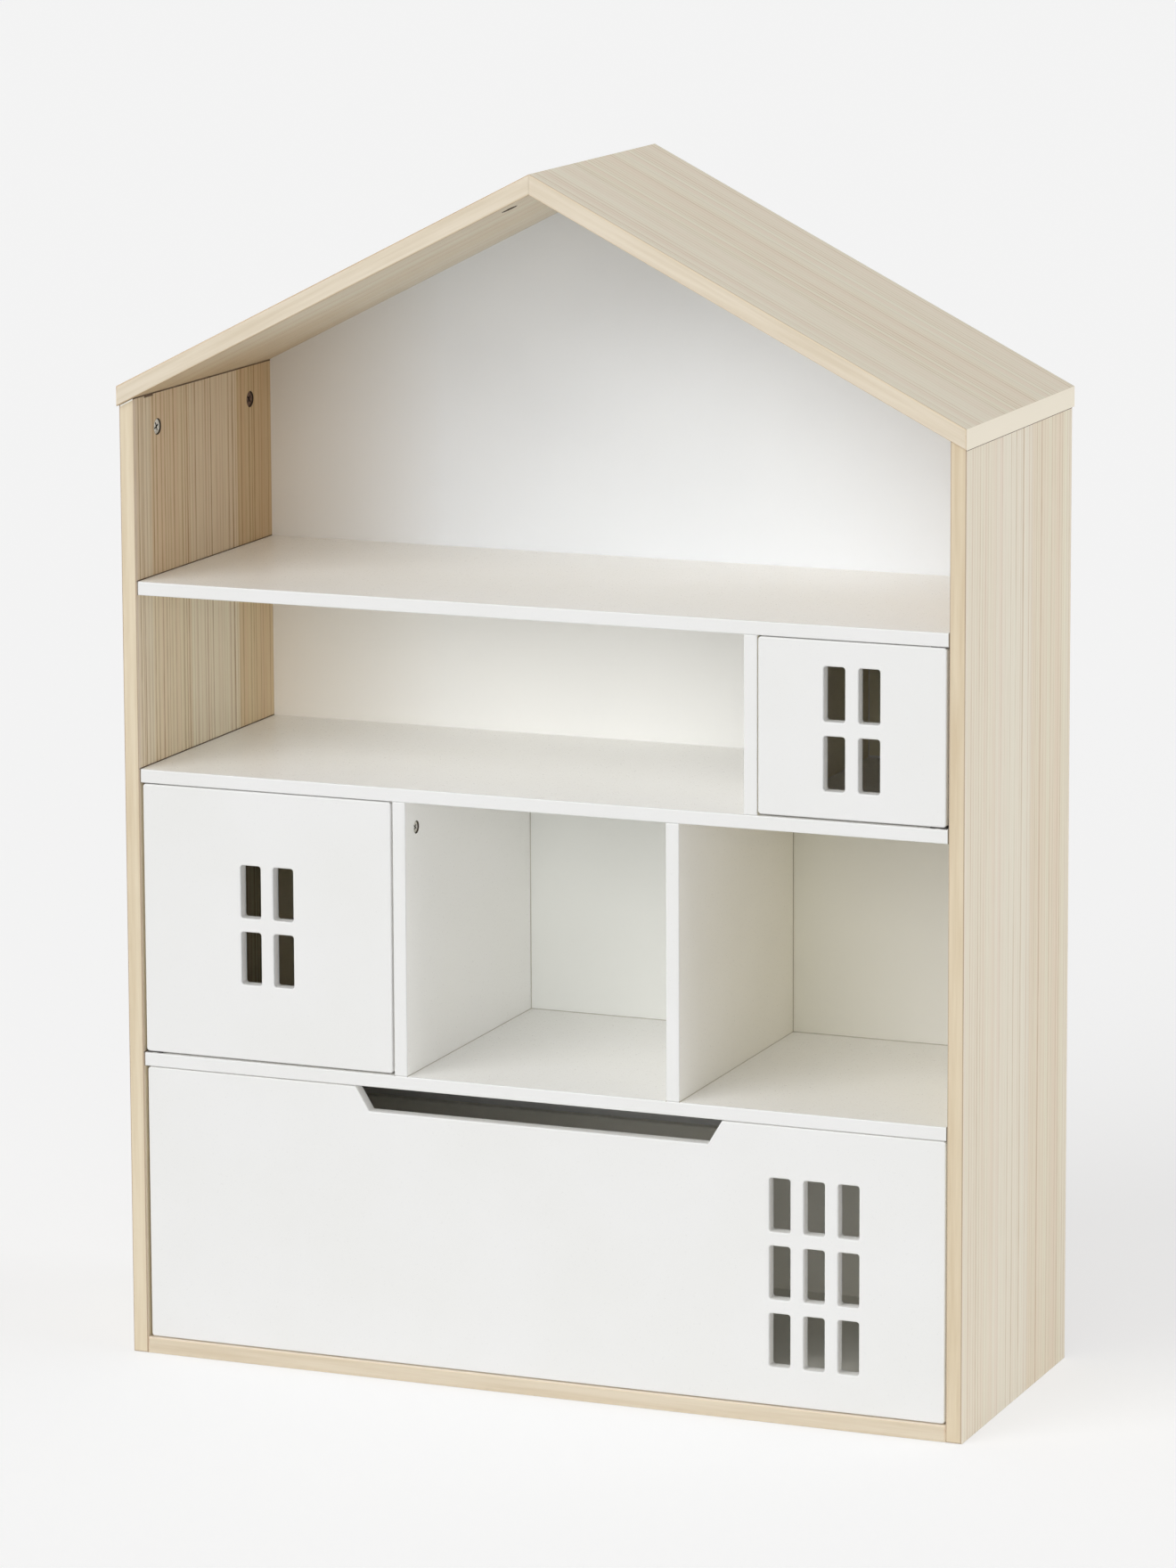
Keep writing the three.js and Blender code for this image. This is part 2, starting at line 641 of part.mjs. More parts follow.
function addRunners(name, side) {
  const foot = trackZ - runnerSheet;
  const top = foot + cabinetRunnerHeight;
  const cabinetProfile = outline([[innerHalfWidth - trackWidth - runnerSheet, foot], [innerHalfWidth, foot],
    [innerHalfWidth, top], [cabinetWebX - topLipWidth, top], [cabinetWebX - topLipWidth, top - runnerSheet],
    [cabinetWebX, top - runnerSheet], [cabinetWebX, trackZ],
    [innerHalfWidth - trackWidth - runnerSheet, trackZ]].map(([x, z]) => [side * x, z]));
  const cabinetRunner = board(cabinetProfile, cabinetRunnerY, cabinetRunnerY + cabinetRunnerLength, 0);
  const frontStud = stud(side * cabinetWebX, -side, frontRollerY, frontRollerZ);
  addMesh(group, `${name}_cabinet_runner`, join(cabinetRunner, [frontStud]), whiteSteel);
  addRoller(`${name}_front_roller`, side * cabinetWebX, -side, frontRollerY, frontRollerZ);

  const flangeTop = drawerFlangeZ + runnerSheet;
  const drawerProfile = outline([[wallOuterX - drawerRunnerGrip, wallFootZ - runnerSheet],
    [drawerWebX, wallFootZ - runnerSheet], [drawerWebX, drawerFlangeZ],
    [drawerWebX + drawerTrackWidth, drawerFlangeZ], [drawerWebX + drawerTrackWidth, flangeTop],
    [wallOuterX, flangeTop], [wallOuterX, wallFootZ],
    [wallOuterX - drawerRunnerGrip, wallFootZ]].map(([x, z]) => [side * x, z]));
  const drawerRunner = board(drawerProfile, drawerBoxFrontY, drawerRearY, 0);
  const rearStud = stud(side * drawerWebX, side, rearRollerY, rearRollerZ);
  addMesh(group, `${name}_drawer_runner`, join(drawerRunner, [rearStud]), whiteSteel);
  addRoller(`${name}_rear_roller`, side * drawerWebX, side, rearRollerY, rearRollerZ);
}

addSides();
addBottom();
addRoof();
addBack();
addInside();
addCams();
doors.forEach(addDoor);
addDrawerBox();
addRunners('left', -1);
addRunners('right', 1);

export default group;
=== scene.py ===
import json
import math
import bpy
import numpy as np
from mathutils import Matrix, Vector
from mathutils.geometry import tessellate_polygon


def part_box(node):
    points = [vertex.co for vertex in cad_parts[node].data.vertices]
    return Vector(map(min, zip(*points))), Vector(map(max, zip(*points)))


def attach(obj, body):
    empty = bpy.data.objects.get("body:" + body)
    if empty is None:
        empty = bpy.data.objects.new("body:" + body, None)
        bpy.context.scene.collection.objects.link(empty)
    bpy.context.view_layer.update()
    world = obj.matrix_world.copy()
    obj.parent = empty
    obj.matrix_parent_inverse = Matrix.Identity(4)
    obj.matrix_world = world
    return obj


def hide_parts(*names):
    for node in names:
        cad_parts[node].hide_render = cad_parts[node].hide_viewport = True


# House-shaped cabinet for a child's room: whitewashed pine shell, white painted shelves and doors.
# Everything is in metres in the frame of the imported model, front towards -Y.

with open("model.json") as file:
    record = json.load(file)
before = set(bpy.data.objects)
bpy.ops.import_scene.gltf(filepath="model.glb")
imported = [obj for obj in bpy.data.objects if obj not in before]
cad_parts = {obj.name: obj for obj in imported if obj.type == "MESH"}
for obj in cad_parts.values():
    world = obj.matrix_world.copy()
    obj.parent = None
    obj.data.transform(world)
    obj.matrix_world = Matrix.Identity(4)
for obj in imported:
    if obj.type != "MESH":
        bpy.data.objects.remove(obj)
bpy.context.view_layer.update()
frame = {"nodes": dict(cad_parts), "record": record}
nodes = frame["nodes"]
print("frame loaded:", len(nodes), "nodes")


def nodeBox(name):
    low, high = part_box(name)
    return np.array(low), np.array(high)


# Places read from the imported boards
roofValues = {
    "pitch": math.radians(26.9),
    "thickness": 0.0195,
    "seatGap": 0.0004,
}
sideLow, sideHigh = nodeBox("right_side_panel")
roofHigh = nodeBox("right_roof_panel")[1]
dividerLow, dividerHigh = nodeBox("lower_right_divider")
frontY, rearY, roofRearY = sideLow[1], sideHigh[1], roofHigh[1]
sideInnerX = sideLow[0]
backFaceY = nodeBox("back_panel")[0][1]
atticFootZ = nodeBox("upper_shelf")[1][2]
roofPitch = roofValues["pitch"]
roofUnderside = roofHigh[2] * math.cos(roofPitch) - roofValues["thickness"]
seatTop = roofUnderside - roofValues["seatGap"] # of the sides, under the roof

# Cam locks: the way each faces, and the middle of its hole at the board's face
camFacing = {"left_side": (1.0, 0.0, 0.0), "right_side": (-1.0, 0.0, 0.0),
             "left_divider": (1.0, 0.0, 0.0), "right_divider": (-1.0, 0.0, 0.0),
             "upper_divider": (1.0, 0.0, 0.0), "ridge": (math.sin(roofPitch), 0.0, -math.cos(roofPitch))}
camMouthRise = 0.0070 # over the middle of the lock


def boreMouth(place):
    low, high = nodeBox(f"{place}_rear_cam")
    return (low + high) / 2 + np.array(camFacing[place]) * camMouthRise, (high[1] - low[1]) / 2


def addObject(name, data):
    item = bpy.data.objects.new(name, data)
    bpy.context.scene.collection.objects.link(item)
    return item


# Shader helpers. Most values of a noise lie in noiseSpan, and cloudSpan keeps its brighter part.
noiseSpan = (0.3, 0.7)
cloudSpan = (0.35, 0.7)
quarter = math.pi / 2


def newMaterial(name):
    material = bpy.data.materials.new(name)
    material.use_nodes = True
    tree = material.node_tree
    tree.nodes.clear()
    output = tree.nodes.new("ShaderNodeOutputMaterial")
    shader = tree.nodes.new("ShaderNodeBsdfPrincipled")
    tree.links.new(shader.outputs["BSDF"], output.inputs["Surface"])
    return material, tree, shader


def plug(tree, socket, value):
    if isinstance(value, bpy.types.NodeSocket):
        tree.links.new(value, socket)
    elif isinstance(value, tuple) and len(value) == 3 and socket.type == "RGBA":
        socket.default_value = (*value, 1.0)
    else:
        socket.default_value = value


def calc(tree, operation, a, b=0.0, c=0.0, clamp=False):
    node = tree.nodes.new("ShaderNodeMath")
    node.operation = operation
    node.use_clamp = clamp
    for socket, value in zip(node.inputs, (a, b, c)):
        plug(tree, socket, value)
    return node.outputs[0]


def times(tree, a, b):
    return calc(tree, "MULTIPLY", a, b)


def plus(tree, a, b, clamp=False):
    return calc(tree, "ADD", a, b, clamp=clamp)


def absolute(tree, value):
    return calc(tree, "ABSOLUTE", value)


# The next four give 1 where what they say is true, and 0 elsewhere.

def below(tree, value, limit):
    return calc(tree, "LESS_THAN", value, limit)


def above(tree, value, limit):
    return calc(tree, "GREATER_THAN", value, limit)


def closeTo(tree, value, place, reach):
    return calc(tree, "COMPARE", value, place, reach)


def within(tree, value, low, high):
    return closeTo(tree, value, (low + high) / 2, (high - low) / 2)


def remap(tree, value, low, high, newLow=0.0, newHigh=1.0):
    node = tree.nodes.new("ShaderNodeMapRange")
    for key, part in zip(("Value", "From Min", "From Max", "To Min", "To Max"),
                         (value, low, high, newLow, newHigh)):
        plug(tree, node.inputs[key], part)
    return node.outputs["Result"]


def blend(tree, factor, a, b, mode="MIX"):
    node = tree.nodes.new("ShaderNodeMix")
    node.data_type = "RGBA"
    node.blend_type = mode
    plug(tree, node.inputs["Factor"], factor)
    plug(tree, node.inputs["A"], a)
    plug(tree, node.inputs["B"], b)
    return node.outputs["Result"]


def tinted(tree, colour, tint, share=1.0):
    return blend(tree, share, colour, tint, "MULTIPLY")


def noiseAt(tree, where, scale, detail=2.0, roughness=0.5, dimensions="3D"):
    node = tree.nodes.new("ShaderNodeTexNoise")
    node.noise_dimensions = dimensions
    plug(tree, node.inputs["W" if dimensions == "1D" else "Vector"], where)
    node.inputs["Scale"].default_value = scale
    node.inputs["Detail"].default_value = detail
    node.inputs["Roughness"].default_value = roughness
    return node.outputs[0]


def ownPlace(tree):
    return tree.nodes.new("ShaderNodeTexCoord").outputs["Object"]


def objectPoint(tree, turn=(0.0, 0.0, 0.0), stretch=(1.0, 1.0, 1.0)):
    mapping = tree.nodes.new("ShaderNodeMapping")
    tree.links.new(ownPlace(tree), mapping.inputs["Vector"])
    mapping.inputs["Rotation"].default_value = turn
    mapping.inputs["Scale"].default_value = stretch
    return mapping.outputs["Vector"]


def parts(tree, vector):
    node = tree.nodes.new("ShaderNodeSeparateXYZ")
    tree.links.new(vector, node.inputs[0])
    return node.outputs[:3]


def joined(tree, x, y, z):
    node = tree.nodes.new("ShaderNodeCombineXYZ")
    for socket, value in zip(node.inputs, (x, y, z)):
        plug(tree, socket, value)
    return node.outputs[0]


def coat(tree, shader, colour, grain, values, height=None, span=noiseSpan):
    # Colour, roughness that follows the grain over its span, and bump from the height or the grain
    tree.links.new(colour, shader.inputs["Base Color"])
    low, high = (values["roughness"] + shift for shift in values["roughSpread"])
    tree.links.new(remap(tree, grain, *span, low, high), shader.inputs["Roughness"])
    shader.inputs["Specular IOR Level"].default_value = values["specular"]
    node = tree.nodes.new("ShaderNodeBump")
    node.inputs["Strength"].default_value = values["strength"]
    node.inputs["Distance"].default_value = values["relief"]
    tree.links.new(grain if height is None else height, node.inputs["Height"])
    tree.links.new(node.outputs["Normal"], shader.inputs["Normal"])


def swatch(red, green, blue):
    # a paint swatch of 0 to 255 as the linear colour that Blender works in
    shares = np.array((red, green, blue)) / 255.0
    linear = np.where(shares <= 0.04045, shares / 12.92, ((shares + 0.055) / 1.055) ** 2.4)
    return tuple(float(v) for v in linear)


# Shades that several surfaces share
# The holes of the cam locks: raw wood darkened with painted shade
boreShadeValues = {
    "margin": 0.0009,
    "tone": swatch(70, 57, 44),
}
# Painted shade in the inner corners of the cubbies
cornerShadeValues = {
    "reach": 0.0007,
    "tint": swatch(213, 210, 201),
}


def shadeBores(tree, colour, places):
    # Raw wood with painted shade in the holes of the cam locks: wherever the distance to a hole's mouth is
    # less than the lock's radius and a margin. |y| stands for y, as each place has a front and a rear lock.
    x, y, z = parts(tree, ownPlace(tree))
    folded = joined(tree, x, absolute(tree, y), z)
    for place in places:
        mouth, radius = boreMouth(place)
        node = tree.nodes.new("ShaderNodeVectorMath")
        node.operation = "DISTANCE"
        tree.links.new(folded, node.inputs[0])
        node.inputs[1].default_value = mouth
        inside = below(tree, node.outputs["Value"], radius + boreShadeValues["margin"])
        colour = blend(tree, inside, colour, boreShadeValues["tone"])
    return colour


def shadeCorners(tree, colour):
    # Painted shade in the corners of the cubbies: a thin dark line near each line where two boards meet.
    # Those lines are at a divider's |x| with the back's y or the shelf's z, and at that y with that z.
    x, y, z = parts(tree, ownPlace(tree))
    reach = cornerShadeValues["reach"]
    shelfTop = dividerLow[2]
    atBack = closeTo(tree, y, backFaceY, reach)
    atShelf = closeTo(tree, z, shelfTop, reach)
    inCubby = within(tree, z, shelfTop - reach, dividerHigh[2])
    shaded = times(tree, atBack, atShelf)
    for face in (dividerLow[0], dividerHigh[0]):
        atFace = closeTo(tree, absolute(tree, x), face, reach)
        both = times(tree, atFace, calc(tree, "MAXIMUM", atBack, atShelf))
        shaded = calc(tree, "MAXIMUM", shaded, times(tree, both, inCubby))
    return blend(tree, shaded, colour, tinted(tree, colour, cornerShadeValues["tint"]))


# Whitewashed pine. The noises are given as scales along u, v and w, detail and roughness, and the
# ranges as two limits of the input, then the two results.
pineValues = {
    "cream": swatch(238, 232, 215),
    "beige": swatch(235, 222, 205),
    "lateWood": swatch(212, 194, 170),
    "lateShare": 0.95,
    "edges": (swatch(214, 201, 176), swatch(203, 187, 159)),
    "roofEdges": (swatch(214, 203, 184), swatch(203, 190, 168)),
    "rightEdgeShadeTint": swatch(250, 248, 246),
    "bottomEdgeTint": swatch(249, 250, 255),
    "edgeDepth": 0.00005,
    "arrisShadeTint": swatch(238, 230, 220),
    "arrisWidth": 0.0016,
    "arrisShare": 0.45,
    "eaveEnd": swatch(247, 238, 219),
    "eaveEndWidth": 0.0001,
    "jointTint": swatch(150, 125, 98),
    "jointShare": 0.75,
    "jointWidth": 0.0006,
    "stripTint": swatch(236, 228, 216),
    "stripShare": 0.45,
    "stripWidth": 0.005,
    # Painted shadow: the seam under the roof, and the lines at the feet of the wall rows
    "seamShadeTint": swatch(96, 72, 48),
    "seamShadeWidth": 0.0010,
    "faceReach": 0.0005,
    "wallZones": (-0.135, 0.083),
    # Tints of the inner walls: partly the staves' own tone and partly painted shade, by depth and height
    "wallStaveAndShadeTints": (swatch(255, 253, 248), swatch(255, 250, 239), swatch(246, 231, 206)),
    "atticWallShadeTints": (swatch(239, 233, 224), swatch(233, 219, 201), swatch(220, 199, 170)),
    "lowWallShadeTint": swatch(255, 255, 244),
    "wallLateTint": swatch(206, 186, 160),
    # Painted shade on the roof's underside, from the ridge to the eaves
    "ridgeCeilingShadeTint": swatch(254, 254, 253),
    "eaveCeilingShadeTint": swatch(233, 219, 199),
    "ceilingShadeRamp": (0.27, 0.45),
    "shelfLine": 0.0009,
    "shadeDashPlace": (-0.139, 0.011),
    "shadeDashWidth": 0.0016,
    "seatLight": swatch(255, 253, 244),
    "seatLightWidth": 0.0015,
    "roofShadeTint": swatch(248, 248, 247),
    "staveTint": swatch(251, 248, 240),
    "staveWidth": 0.118,
    "staveJump": 0.7,
    "glueWidth": 0.004,
    "glueShare": 0.5,
    "wander": ((1.5, 9.0, 9.0), 2.0, 0.5),
    "lineWander": 0.006,
    "slant": 0.6,
    "ringWidth": 0.0086,
    "driftNoise": (46.0, 2.0, 0.5),
    "ringDrift": 0.011,
    "ringDepths": (0.1, 1.0),
    "lateRise": (0.5, 0.9),
    "lateFall": (1.0, 0.94),
    "fade": ((2.6, 34.0, 34.0), 3.0, 0.55),
    "fadeRange": (0.3, 0.58, 0.45, 1.0),
    "broken": ((30.0, 420.0, 420.0), 2.0, 0.6),
    "brokenRange": (0.35, 0.6, 0.6, 1.0),
    "fibres": ((16.0, 800.0, 800.0), 2.0, 0.6),
    "fibreShare": 0.45,
    "endFibreShare": 0.5,
    "edgeGrain": ((7.0, 60.0, 170.0), 3.0, 0.6),
    "edgeSpan": (0.36, 0.68),
    "hueNoise": (34.0, 3.0, 0.6),
    "hueFade": 0.8,
    "hueStave": 0.3,
    "roughness": 0.52,
    "roughSpread": (-0.06, 0.08),
    "specular": 0.35,
    "reliefShares": (-0.6, 0.4),
    "relief": 0.00012,
    "strength": 0.5,
}


def fromRidge(tree, x, z):
    # z cos(pitch) + |x| sin(pitch): the same all over a roof board's top, less on its underside
    return plus(tree, times(tree, z, math.cos(roofPitch)),
                times(tree, absolute(tree, x), math.sin(roofPitch)))


def innerWall(sign):
    # on the face of a side that looks into the cabinet
    def mask(tree, x, z):
        return below(tree, times(tree, x, sign), sideInnerX + pineValues["faceReach"])
    return mask


def ceiling(tree, x, z):
    # on the underside of the roof
    return below(tree, fromRidge(tree, x, z), roofUnderside + pineValues["faceReach"])


def wallStavesAndShade(tree, y, z, late):
    # The inner faces have three staves, a front one, a middle one and a rear one, whose tints are partly
    # the staves' own tone and partly painted shade that grows browner and darker towards the rear. Over the
    # upper shelf all are duller, a painted shade under the roof, and below the middle shelf they have one
    # tone. Their late wood is deeper, and a painted shadow line follows the foot of each row.
    values = pineValues
    frontEnd, rearStart = values["wallZones"]
    atFront, atRear = below(tree, y, frontEnd), above(tree, y, rearStart)
    rows = []
    for key in ("wallStaveAndShadeTints", "atticWallShadeTints"):
        front, middle, rear = values[key]
        rows.append(blend(tree, atRear, blend(tree, atFront, middle, front), rear))
    tone = blend(tree, above(tree, z, atticFootZ), *rows)
    tone = blend(tree, below(tree, z, dividerHigh[2]), tone, values["lowWallShadeTint"])
    tone = blend(tree, late, tone, tinted(tree, tone, values["wallLateTint"]))
    # Painted shadow where each shelf meets the wall
    for shelf in ("upper_shelf", "middle_shelf", "lower_shelf"):
        atFoot = closeTo(tree, z, nodeBox(shelf)[1][2], values["shelfLine"])
        tone = blend(tree, atFoot, tone, values["seamShadeTint"])
    return tone


def ceilingShade(tree, x):
    # Painted shade: the underside of the roof grows browner and darker from the ridge to the eaves.
    return blend(tree, remap(tree, absolute(tree, x), *pineValues["ceilingShadeRamp"]),
                 pineValues["ridgeCeilingShadeTint"], pineValues["eaveCeilingShadeTint"])


def pineSurface(name, tilt, staveShift, seed, halfDepth, inside=None, edgeTint=None, camPlaces=()):
    # u runs along the grain once the board is tilted, v across the face and w through it. Growth rings:
    # v over the ring width, plus slow noises, is cut into whole rings; within each the wood darkens
    # slowly towards its late end and falls back at once, by an amount picked for that ring. A broad
    # one-dimensional noise turns cream to beige, and drawn-out noises let rings fade and break along
    # the grain. The whole part of (v + shift) / width moves rings and hue at each stave. The edge band
    # is the flat of the front and rear edges, with a joint line and a pale strip behind it.
    values = pineValues
    material, tree, shader = newMaterial(name)
    u, v, w = parts(tree, objectPoint(tree, (0, tilt, 0)))

    def stretched(scales, detail, roughness):
        where = joined(tree, *(times(tree, way, scale) for way, scale in zip((u, v, w), scales)))
        return noiseAt(tree, where, 1.0, detail, roughness)

    def picked(number):
        node = tree.nodes.new("ShaderNodeTexWhiteNoise")
        node.noise_dimensions = "1D"
        tree.links.new(plus(tree, number, seed), node.inputs["W"])
        return node.outputs["Value"]

    def centred(value, amount):
        return times(tree, calc(tree, "SUBTRACT", value, 0.5), amount)

    stave = calc(tree, "DIVIDE", plus(tree, v, staveShift), values["staveWidth"])
    staveTone = picked(calc(tree, "FLOOR", stave))
    across = plus(tree, v, centred(stretched(*values["wander"]), values["lineWander"]))
    across = plus(tree, across, times(tree, w, values["slant"]))
    across = plus(tree, across, times(tree, staveTone, values["staveJump"]))
    drift = centred(noiseAt(tree, across, *values["driftNoise"], "1D"), values["ringDrift"])
    ring = calc(tree, "DIVIDE", plus(tree, across, drift), values["ringWidth"])
    ringPart = calc(tree, "FRACT", ring)
    ringDepth = remap(tree, picked(calc(tree, "FLOOR", ring)), 0.0, 1.0, *values["ringDepths"])
    fade, broken, fibres = (stretched(*values[key]) for key in ("fade", "broken", "fibres"))
    late = times(tree, ringDepth, remap(tree, ringPart, *values["lateRise"]))
    late = times(tree, late, remap(tree, ringPart, *values["lateFall"]))
    late = times(tree, late, remap(tree, fade, *values["fadeRange"]))
    late = times(tree, late, remap(tree, broken, *values["brokenRange"]))
    late = plus(tree, late, centred(fibres, values["fibreShare"]), clamp=True)

    hue = plus(tree, remap(tree, noiseAt(tree, across, *values["hueNoise"], "1D"), *noiseSpan),
               centred(fade, values["hueFade"]))
    hue = plus(tree, hue, centred(staveTone, values["hueStave"]), clamp=True)
    face = blend(tree, hue, values["cream"], values["beige"])
    face = tinted(tree, face, values["staveTint"], staveTone)
    face = tinted(tree, face, values["lateWood"], times(tree, late, values["lateShare"]))
    # The roof boards are a little darker all over, a painted shade.
    if "roof" in name:
        face = tinted(tree, face, values["roofShadeTint"])
    glue = closeTo(tree, calc(tree, "FRACT", stave), 0.0, values["glueWidth"])
    face = tinted(tree, face, values["lateWood"], times(tree, glue, values["glueShare"]))

    x, y, z = parts(tree, ownPlace(tree))
    # The faces inside the cabinet take painted shade: the walls by stave and height, the roof's underside
    # towards the eaves.
    if inside is not None:
        tone = wallStavesAndShade(tree, y, z, late) if "side" in name else ceilingShade(tree, x)
        face = tinted(tree, face, tone, inside(tree, x, z))
    fromEnds = calc(tree, "SUBTRACT", halfDepth, absolute(tree, y))
    edges = values["roofEdges" if "roof" in name else "edges"]
    edgeColour = blend(tree, remap(tree, stretched(*values["edgeGrain"]), *values["edgeSpan"]), *edges)
    if edgeTint is not None:
        edgeColour = tinted(tree, edgeColour, edgeTint)
    if "side" in name:
        strip = remap(tree, fromEnds, values["jointWidth"], values["stripWidth"], values["stripShare"], 0.0)
        face = blend(tree, strip, face, values["stripTint"])
        joint = below(tree, fromEnds, values["jointWidth"])
        face = blend(tree, times(tree, joint, values["jointShare"]), face, values["jointTint"])
        # Painted shadow along the top of the sides, in the seam under the roof, wider in a short dash near
        # the front of the left side's inner face.
        dash = times(tree, closeTo(tree, y, *values["shadeDashPlace"]),
                     closeTo(tree, x, -sideInnerX, values["faceReach"]))
        width = calc(tree, "MULTIPLY_ADD", dash, values["shadeDashWidth"], values["seamShadeWidth"])
        seam = above(tree, plus(tree, fromRidge(tree, x, z), width), seatTop)
        face = blend(tree, seam, face, values["seamShadeTint"])
    if "roof" in name:
        # The roof's front arris is darkened, a painted shade against its highlight, and a dark joint line
        # lies behind it.
        face = tinted(tree, face, values["arrisShadeTint"], below(tree, fromEnds, values["arrisWidth"]))
        joint = closeTo(tree, fromEnds, values["arrisWidth"], values["jointWidth"])
        face = blend(tree, times(tree, joint, values["arrisShare"]), face, values["jointTint"])
        fromEaves = calc(tree, "SUBTRACT", roofHigh[0], absolute(tree, x))
        eaveEnd = blend(tree, centred(fibres, values["endFibreShare"]), values["eaveEnd"],
                        values["beige"])
        face = blend(tree, below(tree, fromEaves, values["eaveEndWidth"]), face, eaveEnd)
    # A painted highlight along the top of the left side's front edge, just under the roof.
    if name == "pine_left_side":
        lit = above(tree, fromRidge(tree, x, z), seatTop - values["seatLightWidth"])
        edgeColour = blend(tree, lit, edgeColour, values["seatLight"])
    face = blend(tree, below(tree, fromEnds, values["edgeDepth"]), face, edgeColour)
    lateShare, fibreShare = values["reliefShares"]
    height = plus(tree, times(tree, late, lateShare), times(tree, fibres, fibreShare))
    coat(tree, shader, shadeBores(tree, face, camPlaces), fibres, values, height)
    return material


# Painted boards and leaves
paintValues = {
    # The whites are painted light: a brighter one inside, where shade falls, and a greyer one for the lit
    # fronts.
    "inside": (swatch(254, 253, 250), swatch(251, 250, 246)),
    "drawerBox": (swatch(253, 250, 239), swatch(251, 248, 235)),
    "front": (swatch(223, 223, 222), swatch(221, 221, 219)),
    "shelfReach": 0.0022,
    "leafReach": 0.0045,
    "sideReach": 0.0003,
    "baySideShadeTint": swatch(253, 247, 226),
    "cubbySideShadeTints": (swatch(253, 253, 253), swatch(246, 244, 236)),
    "endShade": swatch(120, 112, 98),
    "endWidth": 0.0011,
    "cloudScale": 7.0,
    "stippleScales": (420.0, 1300.0),
    "stippleShare": 0.5,
    "stippleSpan": (0.4, 1.1),
    "relief": 0.00003,
    "strength": 0.6,
    "roughness": 0.30,
    "roughSpread": (-0.05, 0.07),
    "specular": 0.4,
}


def paintSurface(name, values, reach, tone="inside"):
    # Sprayed satin paint: a cloudy noise moves the colour a little, and a fine stipple of two noises gives
    # the orange peel, in bump and in roughness. Faces less than the reach behind the sides' front edges
    # have the tone of the fronts, a greyer white than that of the inside; the two whites are painted light,
    # one white dimmed where the light is strong and brightened where it is in shade. A thin painted shade
    # lies where |x| nears the side that a shelf meets. The side of the upper divider towards the door is
    # more olive, and that of the right divider browner towards the rear, both painted shade.
    material, tree, shader = newMaterial(name)
    point = objectPoint(tree)
    x, y, z = parts(tree, point)
    clouds = remap(tree, noiseAt(tree, point, values["cloudScale"], 3.0), *cloudSpan)
    coarse, fine = values["stippleScales"]
    stipple = plus(tree, noiseAt(tree, point, coarse, 2.0),
                   times(tree, noiseAt(tree, point, fine, 1.0), values["stippleShare"]))
    atFront = below(tree, y, frontY + reach)
    colour = blend(tree, atFront, blend(tree, clouds, *values[tone]),
                   blend(tree, clouds, *values["front"]))
    toRear = remap(tree, y, frontY, backFaceY)
    sideTones = {"upper_divider": values["baySideShadeTint"],
                 "lower_right_divider": blend(tree, toRear, *values["cubbySideShadeTints"])}
    sideReach = values["sideReach"]
    for divider, tint in sideTones.items():
        low, high = nodeBox(divider)
        onSide = times(tree, within(tree, z, low[2] + sideReach, high[2] - sideReach),
                       closeTo(tree, x, high[0], sideReach))
        onSide = times(tree, onSide, calc(tree, "SUBTRACT", 1.0, atFront))
        colour = tinted(tree, colour, tint, onSide)
    atEnd = closeTo(tree, absolute(tree, x), sideInnerX, values["endWidth"])
    colour = shadeCorners(tree, blend(tree, atEnd, colour, values["endShade"]))
    colour = shadeBores(tree, colour, ("left_divider", "right_divider", "upper_divider"))
    coat(tree, shader, colour, stipple, values, span=values["stippleSpan"])
    return material


# Thin boards: the back and the drawer's floor
backValues = {
    "faced": swatch(252, 252, 249),
    "floorFaced": swatch(253, 251, 241),
    "facedDepth": 0.0004,
    "cloudScale": 5.0,
    "cloudShare": 0.97,
    # Painted shade on the back by zone
    "atticShadeTint": swatch(236, 239, 245),
    "wallShade": swatch(236, 226, 212),
    "wallShadeEnd": 0.25,
    "lowShadeShare": 0.6,
    "doorBayShadeTint": swatch(253, 246, 222),
    "cubbyShadeTint": swatch(244, 245, 243),
    "farCubbyShadeTints": (swatch(222, 219, 207), swatch(244, 243, 243)),
    "fibre": swatch(196, 166, 128),
    "fibreDark": swatch(165, 132, 96),
    "speckleStretch": (900.0, 900.0, 300.0),
    "roughness": 0.59,
    "roughSpread": (-0.07, 0.07),
    "specular": 0.3,
    "relief": 0.00004,
    "strength": 0.5,
}


def backShadeByPlace(tree, x, z, white):
    # Painted shade on the back by place: greyer in the attic, browner towards the left side, olive behind
    # the doors, and darker in the cubbies, most of all beside the right divider.
    values = backValues
    inAttic = above(tree, z, atticFootZ)
    shade = remap(tree, x, -values["wallShadeEnd"], -sideInnerX)
    shade = times(tree, shade, remap(tree, inAttic, 0.0, 1.0, values["lowShadeShare"], 1.0))
    white = tinted(tree, white, values["atticShadeTint"], inAttic)
    white = tinted(tree, white, values["wallShade"], shade)
    for door in ("left_door", "right_door"):
        low, high = nodeBox(door)
        behindDoor = times(tree, within(tree, x, low[0], high[0]), within(tree, z, low[2], high[2]))
        white = tinted(tree, white, values["doorBayShadeTint"], behindDoor)
    farCubby = blend(tree, remap(tree, x, dividerHigh[0], sideInnerX), *values["farCubbyShadeTints"])
    cubby = blend(tree, above(tree, x, dividerLow[0]), values["cubbyShadeTint"], farCubby)
    inCubby = times(tree, within(tree, z, dividerLow[2], dividerHigh[2]), above(tree, x, -dividerLow[0]))
    return tinted(tree, white, cubby, inCubby)


